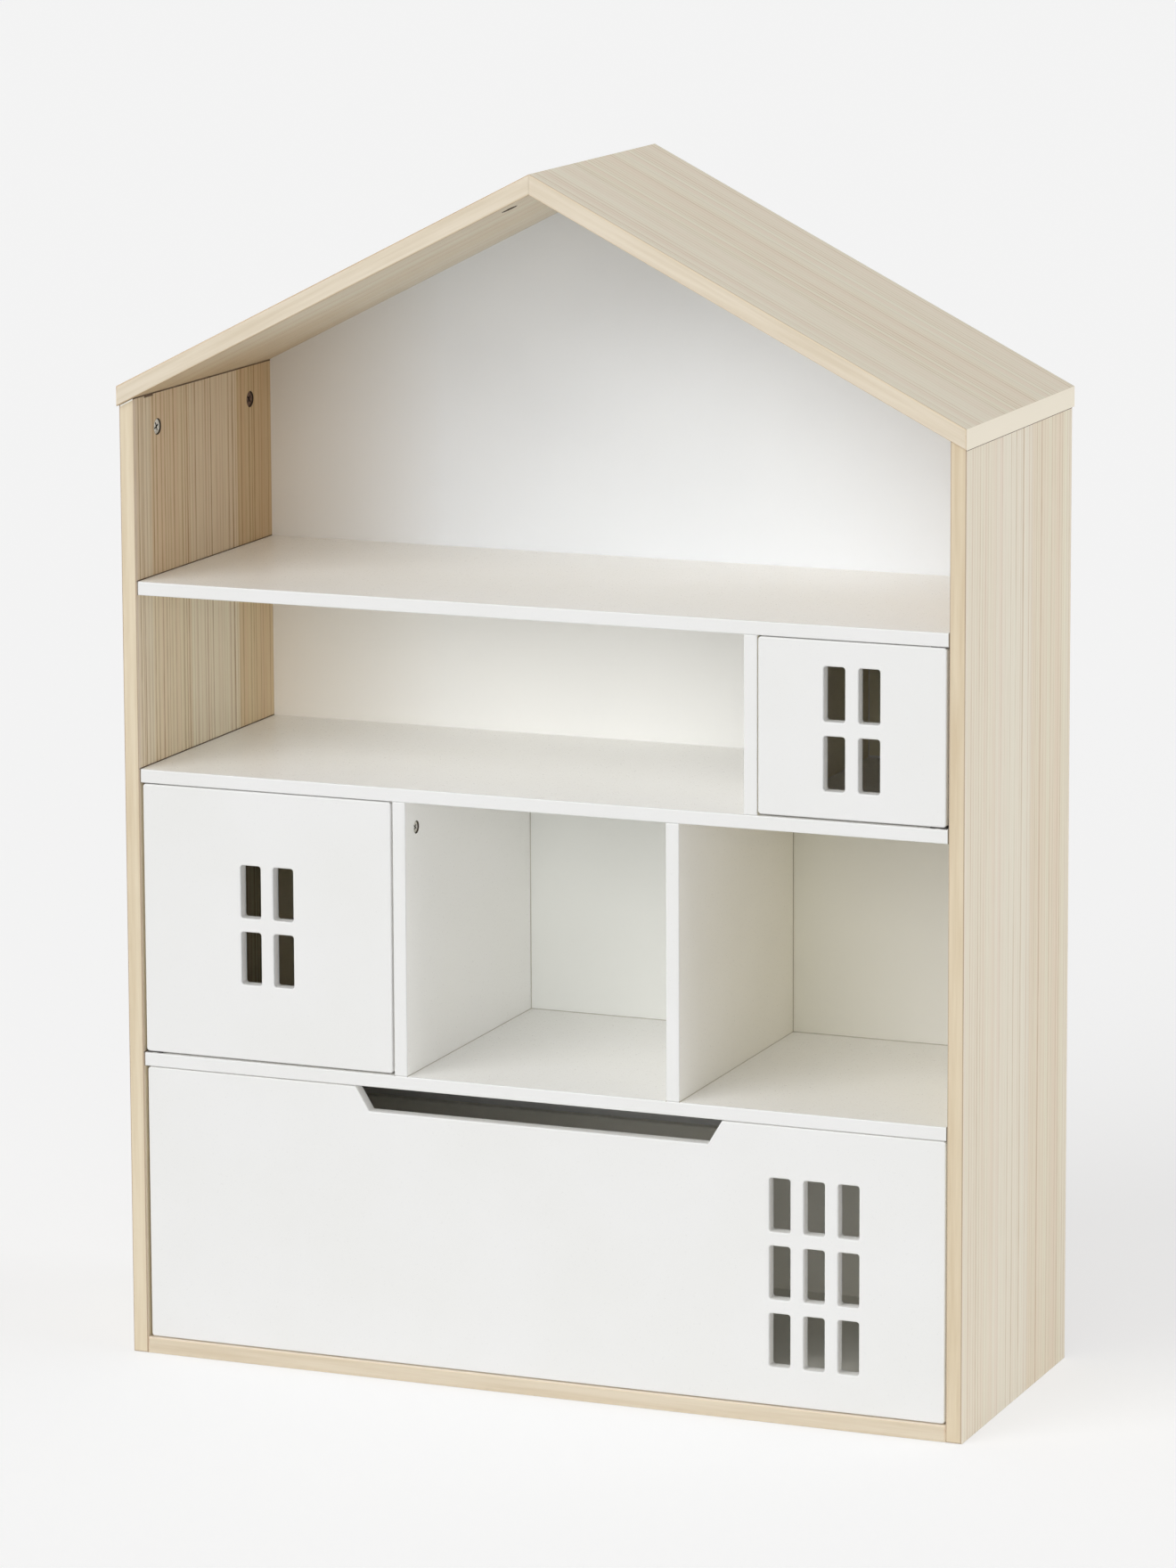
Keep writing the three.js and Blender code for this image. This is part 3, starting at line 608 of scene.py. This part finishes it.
def thinBoardSurface(name, facedLow, facedHigh, axis, faced, byPlace=None):
    # Thin fibreboard: white facing where the coordinate on the axis lies between the two limits, and
    # pressed brown fibres, a stretched noise over a speckle, everywhere else.
    values = backValues
    material, tree, shader = newMaterial(name)
    point = objectPoint(tree)
    place = parts(tree, point)
    clouds = remap(tree, noiseAt(tree, point, values["cloudScale"], 3.0), *cloudSpan)
    white = blend(tree, clouds, faced, tuple(v * values["cloudShare"] for v in faced))
    # byPlace, where given, paints shade onto the white by place.
    if byPlace is not None:
        white = byPlace(tree, place[0], place[2], white)
    speckle = noiseAt(tree, objectPoint(tree, stretch=values["speckleStretch"]), 1.0, 3.0, 0.65)
    brown = blend(tree, remap(tree, speckle, *noiseSpan), values["fibre"], values["fibreDark"])
    onFace = within(tree, place[axis], facedLow, facedHigh)
    coat(tree, shader, blend(tree, onFace, brown, shadeCorners(tree, white)), speckle, values)
    return material


# Fittings: plated metal with brush marks, spark-eroded nylon and powder coat
fittingValues = {
    "metal": {"stretch": (300.0, 4000.0, 300.0), "detail": 3.0, "cloudScale": 260.0,
              "cloudTint": (0.72, 0.72, 0.72), "roughSpread": (-0.07, 0.1), "strength": 0.5},
    "nylon": {"stretch": (2600.0, 2600.0, 2600.0), "detail": 2.0, "cloudScale": 90.0,
              "cloudTint": (0.96, 0.95, 0.91), "roughSpread": (-0.05, 0.08), "strength": 0.4},
    "coat": {"stretch": (1500.0, 1500.0, 1500.0), "detail": 2.0, "cloudScale": 30.0,
             "cloudTint": (0.93, 0.93, 0.93), "roughSpread": (-0.07, 0.07), "strength": 0.5},
}


def fittingSurface(name, kind, paint, roughness, relief, metallic=0.0):
    # A fine noise, drawn out into brush marks on metal, gives bump and roughness, and a slow noise
    # clouds the colour.
    values = {**fittingValues[kind], "roughness": roughness, "relief": relief, "specular": 0.5}
    material, tree, shader = newMaterial(name)
    grain = noiseAt(tree, objectPoint(tree, stretch=values["stretch"]), 1.0, values["detail"])
    clouds = noiseAt(tree, objectPoint(tree), values["cloudScale"], 2.0)
    colour = swatch(*paint)
    clouded = tuple(v * share for v, share in zip(colour, values["cloudTint"]))
    shader.inputs["Metallic"].default_value = metallic
    coat(tree, shader, blend(tree, remap(tree, clouds, *cloudSpan), colour, clouded), grain, values)
    return material


# A finish under the name of a node or a slot dresses that node or slot. The others dress the drawer's
# box and what is made here.
facedFrom = nodeBox("drawer_floor")[1][2] - backValues["facedDepth"]
finishes = {
    "left_side_panel": pineSurface("pine_left_side", quarter, 0.158, 3.0, rearY,
                                   innerWall(-1.0), camPlaces=("left_side",)),
    # The right side's front edge is a little darker, a painted shade.
    "right_side_panel": pineSurface("pine_right_side", quarter, 0.196, 11.0, rearY,
                                    innerWall(1.0), pineValues["rightEdgeShadeTint"], ("right_side",)),
    "bottom_panel": pineSurface("pine_bottom", 0, 0.175, 23.0, rearY,
                                edgeTint=pineValues["bottomEdgeTint"]),
    "left_roof_panel": pineSurface("pine_left_roof", roofPitch, 0.182, 31.0, roofRearY,
                                   ceiling, camPlaces=("ridge",)),
    "right_roof_panel": pineSurface("pine_right_roof", -roofPitch, 0.171, 47.0, roofRearY,
                                    ceiling),
    "white_paint": paintSurface("white_satin_paint", paintValues, paintValues["shelfReach"]),
    "front": paintSurface("front_satin_paint", paintValues, paintValues["leafReach"]),
    "drawerBox": paintSurface("drawer_satin_paint", paintValues, 0.0, "drawerBox"),
    "back_panel": thinBoardSurface("white_faced_back", -1.0, rearY - backValues["facedDepth"], 1,
                                   backValues["faced"], backShadeByPlace),
    "drawer_floor": thinBoardSurface("white_faced_floor", facedFrom, 1.0, 2, backValues["floorFaced"]),
    "zinc": fittingSurface("cast_zinc", "metal", (240, 237, 228), 0.42, 0.00004, 0.7),
    "darkZinc": fittingSurface("dark_zinc", "metal", (128, 102, 88), 0.5, 0.00004, 0.6),
    # The dark finish of the locks' hollows: painted shade
    "recess": fittingSurface("cam_hollow_shade", "metal", (52, 48, 43), 0.6, 0.00004, 0.5),
    "dark_steel": fittingSurface("dark_plated_steel", "metal", (84, 82, 80), 0.36, 0.00003, 1.0),
    "brightSteel": fittingSurface("bright_plated_steel", "metal", (190, 190, 188), 0.3, 0.00003, 1.0),
    "nylon": fittingSurface("white_nylon", "nylon", (230, 229, 224), 0.45, 0.00002),
    "white_steel": fittingSurface("white_coated_steel", "coat", (232, 232, 230), 0.35, 0.00003),
}
print("finishes made:", len(finishes))


def dress(item, finish):
    item.data.materials.clear()
    item.data.materials.append(finishes[finish])


drawerBox = ("drawer_left_side", "drawer_right_side", "drawer_back")
for entry in frame["record"]["subparts"]:
    node = entry["node"]
    own = "drawerBox" if node in drawerBox else node
    dress(nodes[node], own if own in finishes else entry["material_slot"])
print("boards and fittings dressed")


# Mesh helpers
sharpAngle = math.radians(32)


def makePiece(name, points, faces, smooth, body, finish, replaced=(), shadedHollows=None):
    # smooth is one value for all faces or one for each, and the last argument marks the faces of the
    # hollows, which take a dark finish as painted shade.
    mesh = bpy.data.meshes.new(name)
    mesh.from_pydata(points.tolist(), [], faces)
    mesh.polygons.foreach_set("use_smooth", np.full(len(faces), smooth))
    if smooth is True:
        mesh.set_sharp_from_angle(angle=sharpAngle)
    mesh.update()
    piece = addObject(name, mesh)
    dress(piece, finish)
    if shadedHollows is not None:
        mesh.materials.append(finishes["recess"])
        mesh.polygons.foreach_set("material_index", shadedHollows)
    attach(piece, body)
    if replaced:
        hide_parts(*replaced)
    return piece


def filletedLoop(corners, radii, steps):
    # A closed outline in x and z. Each corner becomes an arc: the way in is turned step by step by the
    # corner's angle, and the arc's centre lies a radius to the side of the tangent point.
    corners = np.asarray(corners, float)
    radii = np.broadcast_to(np.asarray(radii, float), len(corners))[:, None]
    wayIn = corners - np.roll(corners, 1, axis=0)
    wayIn /= np.linalg.norm(wayIn, axis=1, keepdims=True)
    wayOut = np.roll(wayIn, -1, axis=0)
    turn = np.arctan2(wayIn[:, 0] * wayOut[:, 1] - wayIn[:, 1] * wayOut[:, 0],
                      (wayIn * wayOut).sum(axis=1))[:, None]
    right = np.stack((wayIn[:, 1], -wayIn[:, 0]), axis=1)
    start = corners - wayIn * radii * np.tan(np.abs(turn) / 2)
    centre = start - right * radii * np.sign(turn)
    angle = turn * np.linspace(0, 1, steps + 1)[None, :]
    cosine, sine = np.cos(angle), np.sin(angle)
    normals = np.stack((right[:, :1] * cosine - right[:, 1:] * sine,
                        right[:, :1] * sine + right[:, 1:] * cosine), axis=2)
    points = centre[:, None, :] + normals * (radii * np.sign(turn))[:, :, None]
    return points.reshape(-1, 2), normals.reshape(-1, 2)


def arrisProfile(nearY, farY, radius, steps):
    # Pairs of inset and y: a quarter circle from the front face to the edge, and one to the rear face.
    angle = np.linspace(0, quarter, steps + 1)
    inset = radius * (1 - np.sin(angle))
    rise = radius * (1 - np.cos(angle))
    return np.concatenate((np.stack((inset, nearY + rise), axis=1),
                           np.stack((inset, farY - rise), axis=1)[::-1]))


def capTriangles(loops, offsets, flip):
    # Triangles that fill the first loop less the others, all turned the same way round.
    triangles = np.array(tessellate_polygon([[Vector((x, z, 0)) for x, z in loop] for loop in loops]))
    flat = np.concatenate(loops)
    a, b, c = (flat[triangles[:, k]] for k in range(3))
    area = (b[:, 0] - a[:, 0]) * (c[:, 1] - a[:, 1]) - (b[:, 1] - a[:, 1]) * (c[:, 0] - a[:, 0])
    wrong = (area < 0) != flip
    triangles[wrong] = triangles[wrong][:, ::-1]
    return np.concatenate(offsets)[triangles]


def panelMesh(outlines, nearY, farY, arris, arrisSteps, groove=None):
    # A board from outlines that keep the wood on their left: the arris profile is carried round each
    # outline by moving its points along their normals, and the two faces are filled between outlines.
    # A groove is a box cut into the rear face, given by two corners in x and z and a depth.
    profile = arrisProfile(nearY, farY, arris, arrisSteps)
    points, faces, smooth = [], [], []
    frontLoops, frontRows, rearLoops, rearRows = [], [], [], []
    count = 0
    for loop, normals in outlines:
        rings = loop[None, :, :] - normals[None, :, :] * profile[:, None, :1]
        rowCount, size = len(profile), len(loop)
        ys = np.broadcast_to(profile[:, None, 1:], (rowCount, size, 1))
        points.append(np.concatenate((rings[:, :, :1], ys, rings[:, :, 1:]), axis=2).reshape(-1, 3))
        index = count + np.arange(rowCount * size).reshape(rowCount, size)
        quads = bandFaces(index)
        faces += quads.tolist()
        smooth += [True] * len(quads)
        frontLoops.append(rings[0])
        frontRows.append(index[0])
        rearLoops.append(rings[-1])
        rearRows.append(index[-1])
        count += rowCount * size
    if groove is not None:
        low, high, depth = groove
        corners = np.array([(low[0], low[1]), (low[0], high[1]), (high[0], high[1]), (high[0], low[1])])
        for y in (farY, farY - depth):
            points.append(np.stack((corners[:, 0], np.full(4, y), corners[:, 1]), axis=1))
        mouth, foot = count + np.arange(4), count + 4 + np.arange(4)
        walls = np.stack((mouth, np.roll(mouth, -1), np.roll(foot, -1), foot), axis=1)
        faces += walls.tolist() + [foot.tolist()]
        smooth += [False] * 5
        rearLoops.append(corners)
        rearRows.append(mouth)
        count += 8
    for loops, rows, flip in ((frontLoops, frontRows, False), (rearLoops, rearRows, True)):
        triangles = capTriangles(loops, rows, flip)
        faces += triangles.tolist()
        smooth += [False] * len(triangles)
    return np.concatenate(points), faces, smooth


def turnedRings(profile, steps):
    # Each pair of radius and height becomes a ring of points about the Z axis.
    angle = np.linspace(0, 2 * math.pi, steps, endpoint=False)
    circle = np.column_stack((np.cos(angle), np.sin(angle)))
    flat = profile[:, None, :1] * circle[None]
    heights = np.broadcast_to(profile[:, None, 1:], (len(profile), steps, 1))
    return np.concatenate((flat, heights), axis=2).reshape(-1, 3)


def bandFaces(index):
    # Quads between each row of the index grid and the next, closed round each row
    after = np.roll(index, -1, axis=1)
    return np.stack((index[:-1], index[1:], after[1:], after[:-1]), axis=2).reshape(-1, 4)


# Leaves: the two doors and the drawer front, with rounded corners and soft arrises
leafValues = {
    "arris": 0.0018,
    "arrisSteps": 6,
    "cornerRadius": 0.0035,
    "cornerSteps": 8,
    "paneSize": (0.0235, 0.058),
    "paneBars": (0.015, 0.0155),
    "paneRadius": 0.003,
    "doorPanes": (2, 2),
    "doorPaneRise": 0.0010,
    "drawerPanes": (3, 3),
    "drawerPaneMargin": 0.0956,
    "drawerPaneFootShare": 0.1388,
    "handleHalfWidths": (0.2115, 0.1955),
    "handleDepth": 0.0264,
    "handleTopRadius": 0.0022,
    "handleFootRadius": 0.0008,
    "grooveDepth": 0.005,
    "grooveGap": 0.0003,
}


def paneLoops(left, foot, panes, values):
    width, height = values["paneSize"]
    barX, barZ = values["paneBars"]
    loops = []
    for column in range(panes[0]):
        for row in range(panes[1]):
            x = left + column * (width + barX)
            z = foot + row * (height + barZ)
            corners = [(x, z), (x, z + height), (x + width, z + height), (x + width, z)]
            loops.append(filletedLoop(corners, values["paneRadius"], values["cornerSteps"]))
    return loops


def panesSize(panes, values):
    return [count * size + (count - 1) * bar
            for count, size, bar in zip(panes, values["paneSize"], values["paneBars"])]


def makeDoor(name, values):
    low, high = nodeBox(name)
    width, height = panesSize(values["doorPanes"], values)
    left = (low[0] + high[0] - width) / 2
    foot = (low[2] + high[2] - height) / 2 + values["doorPaneRise"]
    corners = [(low[0], low[2]), (high[0], low[2]), (high[0], high[2]), (low[0], high[2])]
    outer = filletedLoop(corners, values["cornerRadius"], values["cornerSteps"])
    outlines = [outer, *paneLoops(left, foot, values["doorPanes"], values)]
    points, faces, smooth = panelMesh(outlines, low[1], high[1], values["arris"], values["arrisSteps"])
    makePiece(f"{name}_leaf", points, faces, smooth, name, "front", (name,))


def makeDrawerFront(values):
    low, high = nodeBox("drawer_front")
    topHalf, footHalf = values["handleHalfWidths"]
    notchZ = high[2] - values["handleDepth"]
    corners = [(low[0], low[2]), (high[0], low[2]), (high[0], high[2]), (topHalf, high[2]),
               (footHalf, notchZ), (-footHalf, notchZ), (-topHalf, high[2]), (low[0], high[2])]
    outerRadius, topRadius, footRadius = (values[key] for key in
                                          ("cornerRadius", "handleTopRadius", "handleFootRadius"))
    radii = [outerRadius] * 3 + [topRadius, footRadius, footRadius, topRadius, outerRadius]
    width, height = panesSize(values["drawerPanes"], values)
    left = high[0] - values["drawerPaneMargin"] - width
    foot = low[2] + values["drawerPaneFootShare"] * (high[2] - low[2])
    outlines = [filletedLoop(corners, radii, values["cornerSteps"]),
                *paneLoops(left, foot, values["drawerPanes"], values)]
    floorLow, floorHigh = nodeBox("drawer_floor")
    gap = values["grooveGap"]
    groove = ((floorLow[0] - gap, floorLow[2] - gap), (floorHigh[0] + gap, floorHigh[2] + gap),
              values["grooveDepth"])
    points, faces, smooth = panelMesh(outlines, low[1], high[1], values["arris"], values["arrisSteps"],
                                      groove)
    makePiece("drawer_front_leaf", points, faces, smooth, "drawer", "front",
              ("drawer_front",))


makeDoor("left_door", leafValues)
makeDoor("right_door", leafValues)
makeDrawerFront(leafValues)
print("door leaves and drawer front made")


# Cam locks: turned drums with a shallow ring and a cross for the driver
camValues = {
    "radius": 0.0082,
    "length": 0.0112,
    "edge": 0.0003,
    "ringRadii": (0.0059, 0.0062, 0.0069, 0.0072),
    "ringDepth": 0.0003,
    "crossReach": 0.0049,
    "crossHalfWidth": 0.0010,
    "crossDepth": 0.0024,
    "steps": 48,
    "turns": {"left_side": 24.0, "right_side": -31.0, "left_divider": 52.0, "right_divider": 17.0,
              "upper_divider": 38.0, "ridge": 8.0},
    "rearTurn": 21.0,
}


def camMesh(values):
    # Rings at the profile's radii and depths, a flat cap between the inmost ring and the cross, and
    # upright walls down to the foot of the cross.
    radius, edge, depth = values["radius"], values["edge"], values["ringDepth"]
    r0, r1, r2, r3 = values["ringRadii"]
    profile = np.array([(r0, 0), (r1, -depth), (r2, -depth), (r3, 0), (radius - edge, 0),
                        (radius, -edge), (radius, -values["length"])])
    steps = values["steps"]
    points = turnedRings(profile, steps)
    index = np.arange(len(points)).reshape(-1, steps)
    faces = bandFaces(index).tolist()
    pole = len(points)
    faces += np.stack((index[-1], np.full(steps, pole), np.roll(index[-1], -1)), axis=1).tolist()
    reach, half = values["crossReach"], values["crossHalfWidth"]
    arm = np.array([(-half, half), (-half, reach), (half, reach)])
    quarterTurn = np.array([(0, -1), (1, 0)])
    cross = np.concatenate([arm @ np.linalg.matrix_power(quarterTurn, k) for k in range(4)])
    mouth = np.column_stack((cross, np.zeros(len(cross))))
    foot = np.column_stack((cross, np.full(len(cross), -values["crossDepth"])))
    mouthRow = pole + 1 + np.arange(len(cross))
    footRow = mouthRow + len(cross)
    points = np.concatenate((points, [(0, 0, -values["length"])], mouth, foot))
    faces += capTriangles([points[index[0], :2], cross], [index[0], mouthRow], False).tolist()
    outerCount = len(faces)
    faces += np.stack((mouthRow, footRow, np.roll(footRow, -1), np.roll(mouthRow, -1)), axis=1).tolist()
    faces += capTriangles([cross], [footRow], False).tolist()
    # The walls and foot of the cross are marked for the dark finish, a painted shade in the hollow.
    shadedHollows = (np.arange(len(faces)) >= outerCount).astype(np.int32)
    return points, faces, shadedHollows


def makeCams(values):
    points, faces, shadedHollows = camMesh(values)
    for place, facing in camFacing.items():
        normal = Vector(facing)
        for end, more in (("front", 0.0), ("rear", values["rearTurn"])):
            node = f"{place}_{end}_cam"
            low, high = nodeBox(node)
            top = (low + high) / 2 + np.array(normal) * values["length"] / 2
            widening = (high[1] - low[1]) / 2 / values["radius"]
            # The rear locks in the sides have a darker, browner finish.
            finish = "darkZinc" if end == "rear" and "side" in place else "zinc"
            turn = math.radians(values["turns"][place] + more)
            tilt = Vector((0, 0, 1)).rotation_difference(normal).to_matrix() @ Matrix.Rotation(turn, 3, "Z")
            placed = points * (widening, widening, 1.0) @ np.array(tilt).T + top
            makePiece(f"{node}_lock", placed, faces, True, "cabinet", finish, (node,), shadedHollows)


makeCams(camValues)
print("cam locks made")


# Runner rollers: nylon wheels with dished faces
rollerValues = {
    "profile": ((0.0031, 0.0040), (0.0046, 0.0040), (0.0050, 0.0034), (0.0080, 0.0034),
                (0.0084, 0.0040), (0.0094, 0.0040), (0.0098, 0.0038), (0.0100, 0.0034)),
    "steps": 56,
}


def makeRollers(values):
    # The profile and its mirror image make a closed ring, turned about the roller's axis.
    half = np.array(values["profile"])
    profile = np.concatenate((half, (half * (1, -1))[::-1]))
    steps = values["steps"]
    ring = turnedRings(profile, steps)
    index = np.arange(len(ring)).reshape(-1, steps)
    faces = bandFaces(np.concatenate((index, index[:1]))).tolist()
    for side in ("left", "right"):
        for end in ("front", "rear"):
            node = f"{side}_{end}_roller"
            low, high = nodeBox(node)
            placed = ring[:, (2, 0, 1)] + (low + high) / 2
            makePiece(f"{node}_wheel", placed, faces, True, node, "nylon", (node,))


makeRollers(rollerValues)
print("rollers made")


# Nails that hold the thin back in its rebate and to the shelves, and screws of the small fittings.
# A head is given by its radius and its rise.
headValues = {
    "steps": 12,
    "rings": 4,
    "foot": 0.0005,
}
nailValues = {
    "head": (0.0026, 0.0007),
    "spacing": 0.12,
    "edgeDistance": 0.0045,
    "rowInset": 0.06,
    "ridgeGap": (0.02, 0.01),
}
screwValues = {
    "runnerHead": (0.0032, 0.00035),
    "runnerSheet": 0.001,
    "cabinetShares": (0.16, 0.5, 0.84),
    "cabinetRise": 0.0125,
    "drawerShares": (0.2, 0.55, 0.8),
    "drawerRise": 0.008,
    "strikeHead": (0.0021, 0.00012),
    "strikeReach": 0.011,
}


def nailRow(start, end, spacing):
    start, end = np.array(start), np.array(end)
    count = max(2, int(round(np.linalg.norm(end - start) / spacing)) + 1)
    return start + (end - start) * np.linspace(0, 1, count)[:, None]


def makeHeads(name, head, places, facing, body):
    # A low dome, rings of a quarter ellipse over a foot inside the board, is repeated at each place and
    # looks the given way.
    radius, rise = head
    steps, footDepth = headValues["steps"], headValues["foot"]
    angle = np.linspace(quarter, 0, headValues["rings"])
    radii, rises = np.cos(angle) * radius, np.sin(angle) * rise
    profile = np.column_stack((np.append(radii[1:], radii[-1]), np.append(rises[1:], -footDepth)))
    rings = turnedRings(profile, steps)
    index = np.arange(len(rings)).reshape(-1, steps)
    pole = len(rings)
    faces = bandFaces(index)
    fan = np.stack((index[0], np.full(steps, pole), np.roll(index[0], -1)), axis=1)
    foot = np.stack((index[-1], np.roll(index[-1], -1), np.full(steps, pole + 1)), axis=1)
    dome = np.concatenate((rings, [(0, 0, rise), (0, 0, -footDepth)]))
    tilt = Vector((0, 0, 1)).rotation_difference(Vector(facing)).to_matrix()
    places = np.asarray(places, float)
    points = ((dome @ np.array(tilt).T)[None] + places[:, None, :]).reshape(-1, 3)
    shift = (np.arange(len(places)) * len(dome))[:, None, None]
    quads = (faces[None] + shift).reshape(-1, 4).tolist()
    triangles = (np.concatenate((fan, foot))[None] + shift).reshape(-1, 3).tolist()
    makePiece(name, points, quads + triangles, True, body, "brightSteel")


def makeNails(values):
    low, high = nodeBox("back_panel")
    inset, spacing = values["edgeDistance"], values["spacing"]
    ridgeX, ridgeDrop = values["ridgeGap"]
    eaveX, footZ, ridgeZ = high[0] - inset, low[2] + inset, high[2] - inset
    eaveZ = ridgeZ - eaveX * math.tan(roofPitch)
    rows = [nailRow((-eaveX, footZ), (eaveX, footZ), spacing)]
    for side in (-1, 1):
        eave = (side * eaveX, eaveZ)
        rows.append(nailRow((side * eaveX, footZ), eave, spacing)[1:])
        rows.append(nailRow(eave, (side * ridgeX, ridgeZ - ridgeDrop), spacing)[1:])
    for shelf in ("lower_shelf", "middle_shelf", "upper_shelf"):
        z = sum(corner[2] for corner in nodeBox(shelf)) / 2
        reach = eaveX - values["rowInset"]
        rows.append(nailRow((-reach, z), (reach, z), spacing))
    places = np.concatenate(rows)
    places = np.column_stack((places[:, 0], np.full(len(places), rearY), places[:, 1]))
    makeHeads("back_nails", values["head"], places, (0, 1, 0), "cabinet")


def makeScrews(values):
    # Screws stand on the runners' upright sheets, at shares of their length, and on the strike plates.
    for side, way in (("left", 1.0), ("right", -1.0)):
        wallLow, wallHigh = nodeBox(f"drawer_{side}_side")
        wallX = (wallLow if side == "left" else wallHigh)[0]
        for body, x, facing in (("cabinet", -way * sideInnerX, way), ("drawer", wallX, -way)):
            low, high = nodeBox(f"{side}_{body}_runner")
            z = (low if body == "cabinet" else wallLow)[2] + values[f"{body}Rise"]
            places = [(x + facing * values["runnerSheet"], low[1] + share * (high[1] - low[1]), z)
                      for share in values[f"{body}Shares"]]
            makeHeads(f"{side}_{body}_runner_screws", values["runnerHead"], places, (facing, 0, 0), body)
    for door in ("left_door", "right_door"):
        low, high = nodeBox(f"{door}_strike_plate")
        middle = (low + high) / 2
        places = [(middle[0] + k * values["strikeReach"], high[1], middle[2]) for k in (-1, 1)]
        makeHeads(f"{door}_strike_screws", values["strikeHead"], places, (0, 1, 0), door)


makeNails(nailValues)
makeScrews(screwValues)
print("nails and screws made")


# Camera: placed from the photograph's own board edges. The frame is 1320 by 1760.
cameraValues = {
    "place": (2.57176, -6.32828, 1.98218),
    "yaw": 22.18,
    "pitch": 9.3057,
    "roll": -0.2387,
    "focalPixels": 7213.15,
    "principalRow": 650.0,
    "frameHeight": 1760.0,
    "sensor": 36.0,
    "clip": (0.1, 200.0),
}


def makeCamera(values):
    data = bpy.data.cameras.new("camera")
    camera = addObject("camera", data)
    yaw, pitch, roll = (math.radians(values[k]) for k in ("yaw", "pitch", "roll"))
    ahead = Vector((-math.sin(yaw) * math.cos(pitch), math.cos(yaw) * math.cos(pitch), -math.sin(pitch)))
    right = Vector((math.cos(yaw), math.sin(yaw), 0.0))
    up = right.cross(ahead)
    rightTurned = right * math.cos(roll) + up * math.sin(roll)
    upTurned = up * math.cos(roll) - right * math.sin(roll)
    turn = Matrix((rightTurned, upTurned, -ahead)).transposed()
    camera.matrix_world = Matrix.Translation(values["place"]) @ turn.to_4x4()
    data.sensor_fit = "AUTO"
    data.sensor_width = values["sensor"]
    data.lens = values["focalPixels"] * values["sensor"] / values["frameHeight"]
    data.shift_y = (values["principalRow"] - values["frameHeight"] / 2) / values["frameHeight"]
    data.clip_start, data.clip_end = values["clip"]
    bpy.context.scene.camera = camera


makeCamera(cameraValues)
print("camera placed")


# Light: a white room, a soft key lamp from the left, a low one in front and one from the right.
lightValues = {
    "world": 0.38,
    "lamps": {
        "key": {"turn": -30.0, "rise": 28.0, "strength": 1.55},
        "low": {"turn": 15.0, "rise": 5.0, "strength": 1.17},
        "side": {"turn": 100.0, "rise": 15.0, "strength": 1.0},
    },
    "softness": 45.0,
    "backdrop": swatch(245, 245, 245),
    "floor": swatch(240, 240, 240),
    "floorHalf": 40.0,
    "floorDrop": 0.0004,
    "floorSeenShare": 0.5,
    "floorGlow": 0.575,
}


def seenRay(tree):
    # 1 for what the camera sees, directly or mirrored, and 0 for light on its way
    path = tree.nodes.new("ShaderNodeLightPath").outputs
    return calc(tree, "MAXIMUM", path["Is Camera Ray"],
                calc(tree, "MAXIMUM", path["Is Glossy Ray"], path["Is Transmission Ray"]))


def makeWorld(values):
    # Seen directly the room is as bright as the backdrop, and it lights the part with its own strength.
    world = bpy.data.worlds.new("room")
    world.use_nodes = True
    tree = world.node_tree
    tree.nodes.clear()
    output = tree.nodes.new("ShaderNodeOutputWorld")
    background = tree.nodes.new("ShaderNodeBackground")
    strength = remap(tree, seenRay(tree), 0.0, 1.0, values["world"], values["backdrop"][0])
    background.inputs["Color"].default_value = (1.0, 1.0, 1.0, 1.0)
    tree.links.new(strength, background.inputs["Strength"])
    tree.links.new(background.outputs[0], output.inputs["Surface"])
    bpy.context.scene.world = world


def makeLamps(values):
    # A lamp's turn is its angle from straight before the cabinet, and its rise the angle above level.
    for name, lamp in values["lamps"].items():
        data = bpy.data.lights.new(name, "SUN")
        data.energy = lamp["strength"]
        data.angle = math.radians(values["softness"])
        item = addObject(name, data)
        turn, rise = math.radians(lamp["turn"]), math.radians(lamp["rise"])
        toLamp = Vector((math.sin(turn) * math.cos(rise), -math.cos(turn) * math.cos(rise),
                         math.sin(rise)))
        item.rotation_mode = "QUATERNION"
        item.rotation_quaternion = toLamp.to_track_quat("Z", "Y")


def makeFloor(values):
    # A wide matt floor: seen directly it is darker than it lights, and a glow brings it to the backdrop.
    half = values["floorHalf"]
    mesh = bpy.data.meshes.new("floor")
    mesh.from_pydata([(-half, -half, 0), (half, -half, 0), (half, half, 0), (-half, half, 0)], [],
                     [(0, 1, 2, 3)])
    floor = addObject("floor", mesh)
    material, tree, shader = newMaterial("pale_floor")
    seen = seenRay(tree)
    shown = tuple(v * values["floorSeenShare"] for v in values["floor"])
    tree.links.new(blend(tree, seen, values["floor"], shown), shader.inputs["Base Color"])
    shader.inputs["Roughness"].default_value = 1.0
    shader.inputs["Specular IOR Level"].default_value = 0.0
    shader.inputs["Emission Color"].default_value = (1.0, 1.0, 1.0, 1.0)
    tree.links.new(times(tree, seen, values["floorGlow"]), shader.inputs["Emission Strength"])
    mesh.materials.append(material)
    floor.location.z = -values["floorDrop"]


makeWorld(lightValues)
makeLamps(lightValues)
makeFloor(lightValues)
bpy.context.scene.view_settings.view_transform = "Standard"
print("light and floor made")
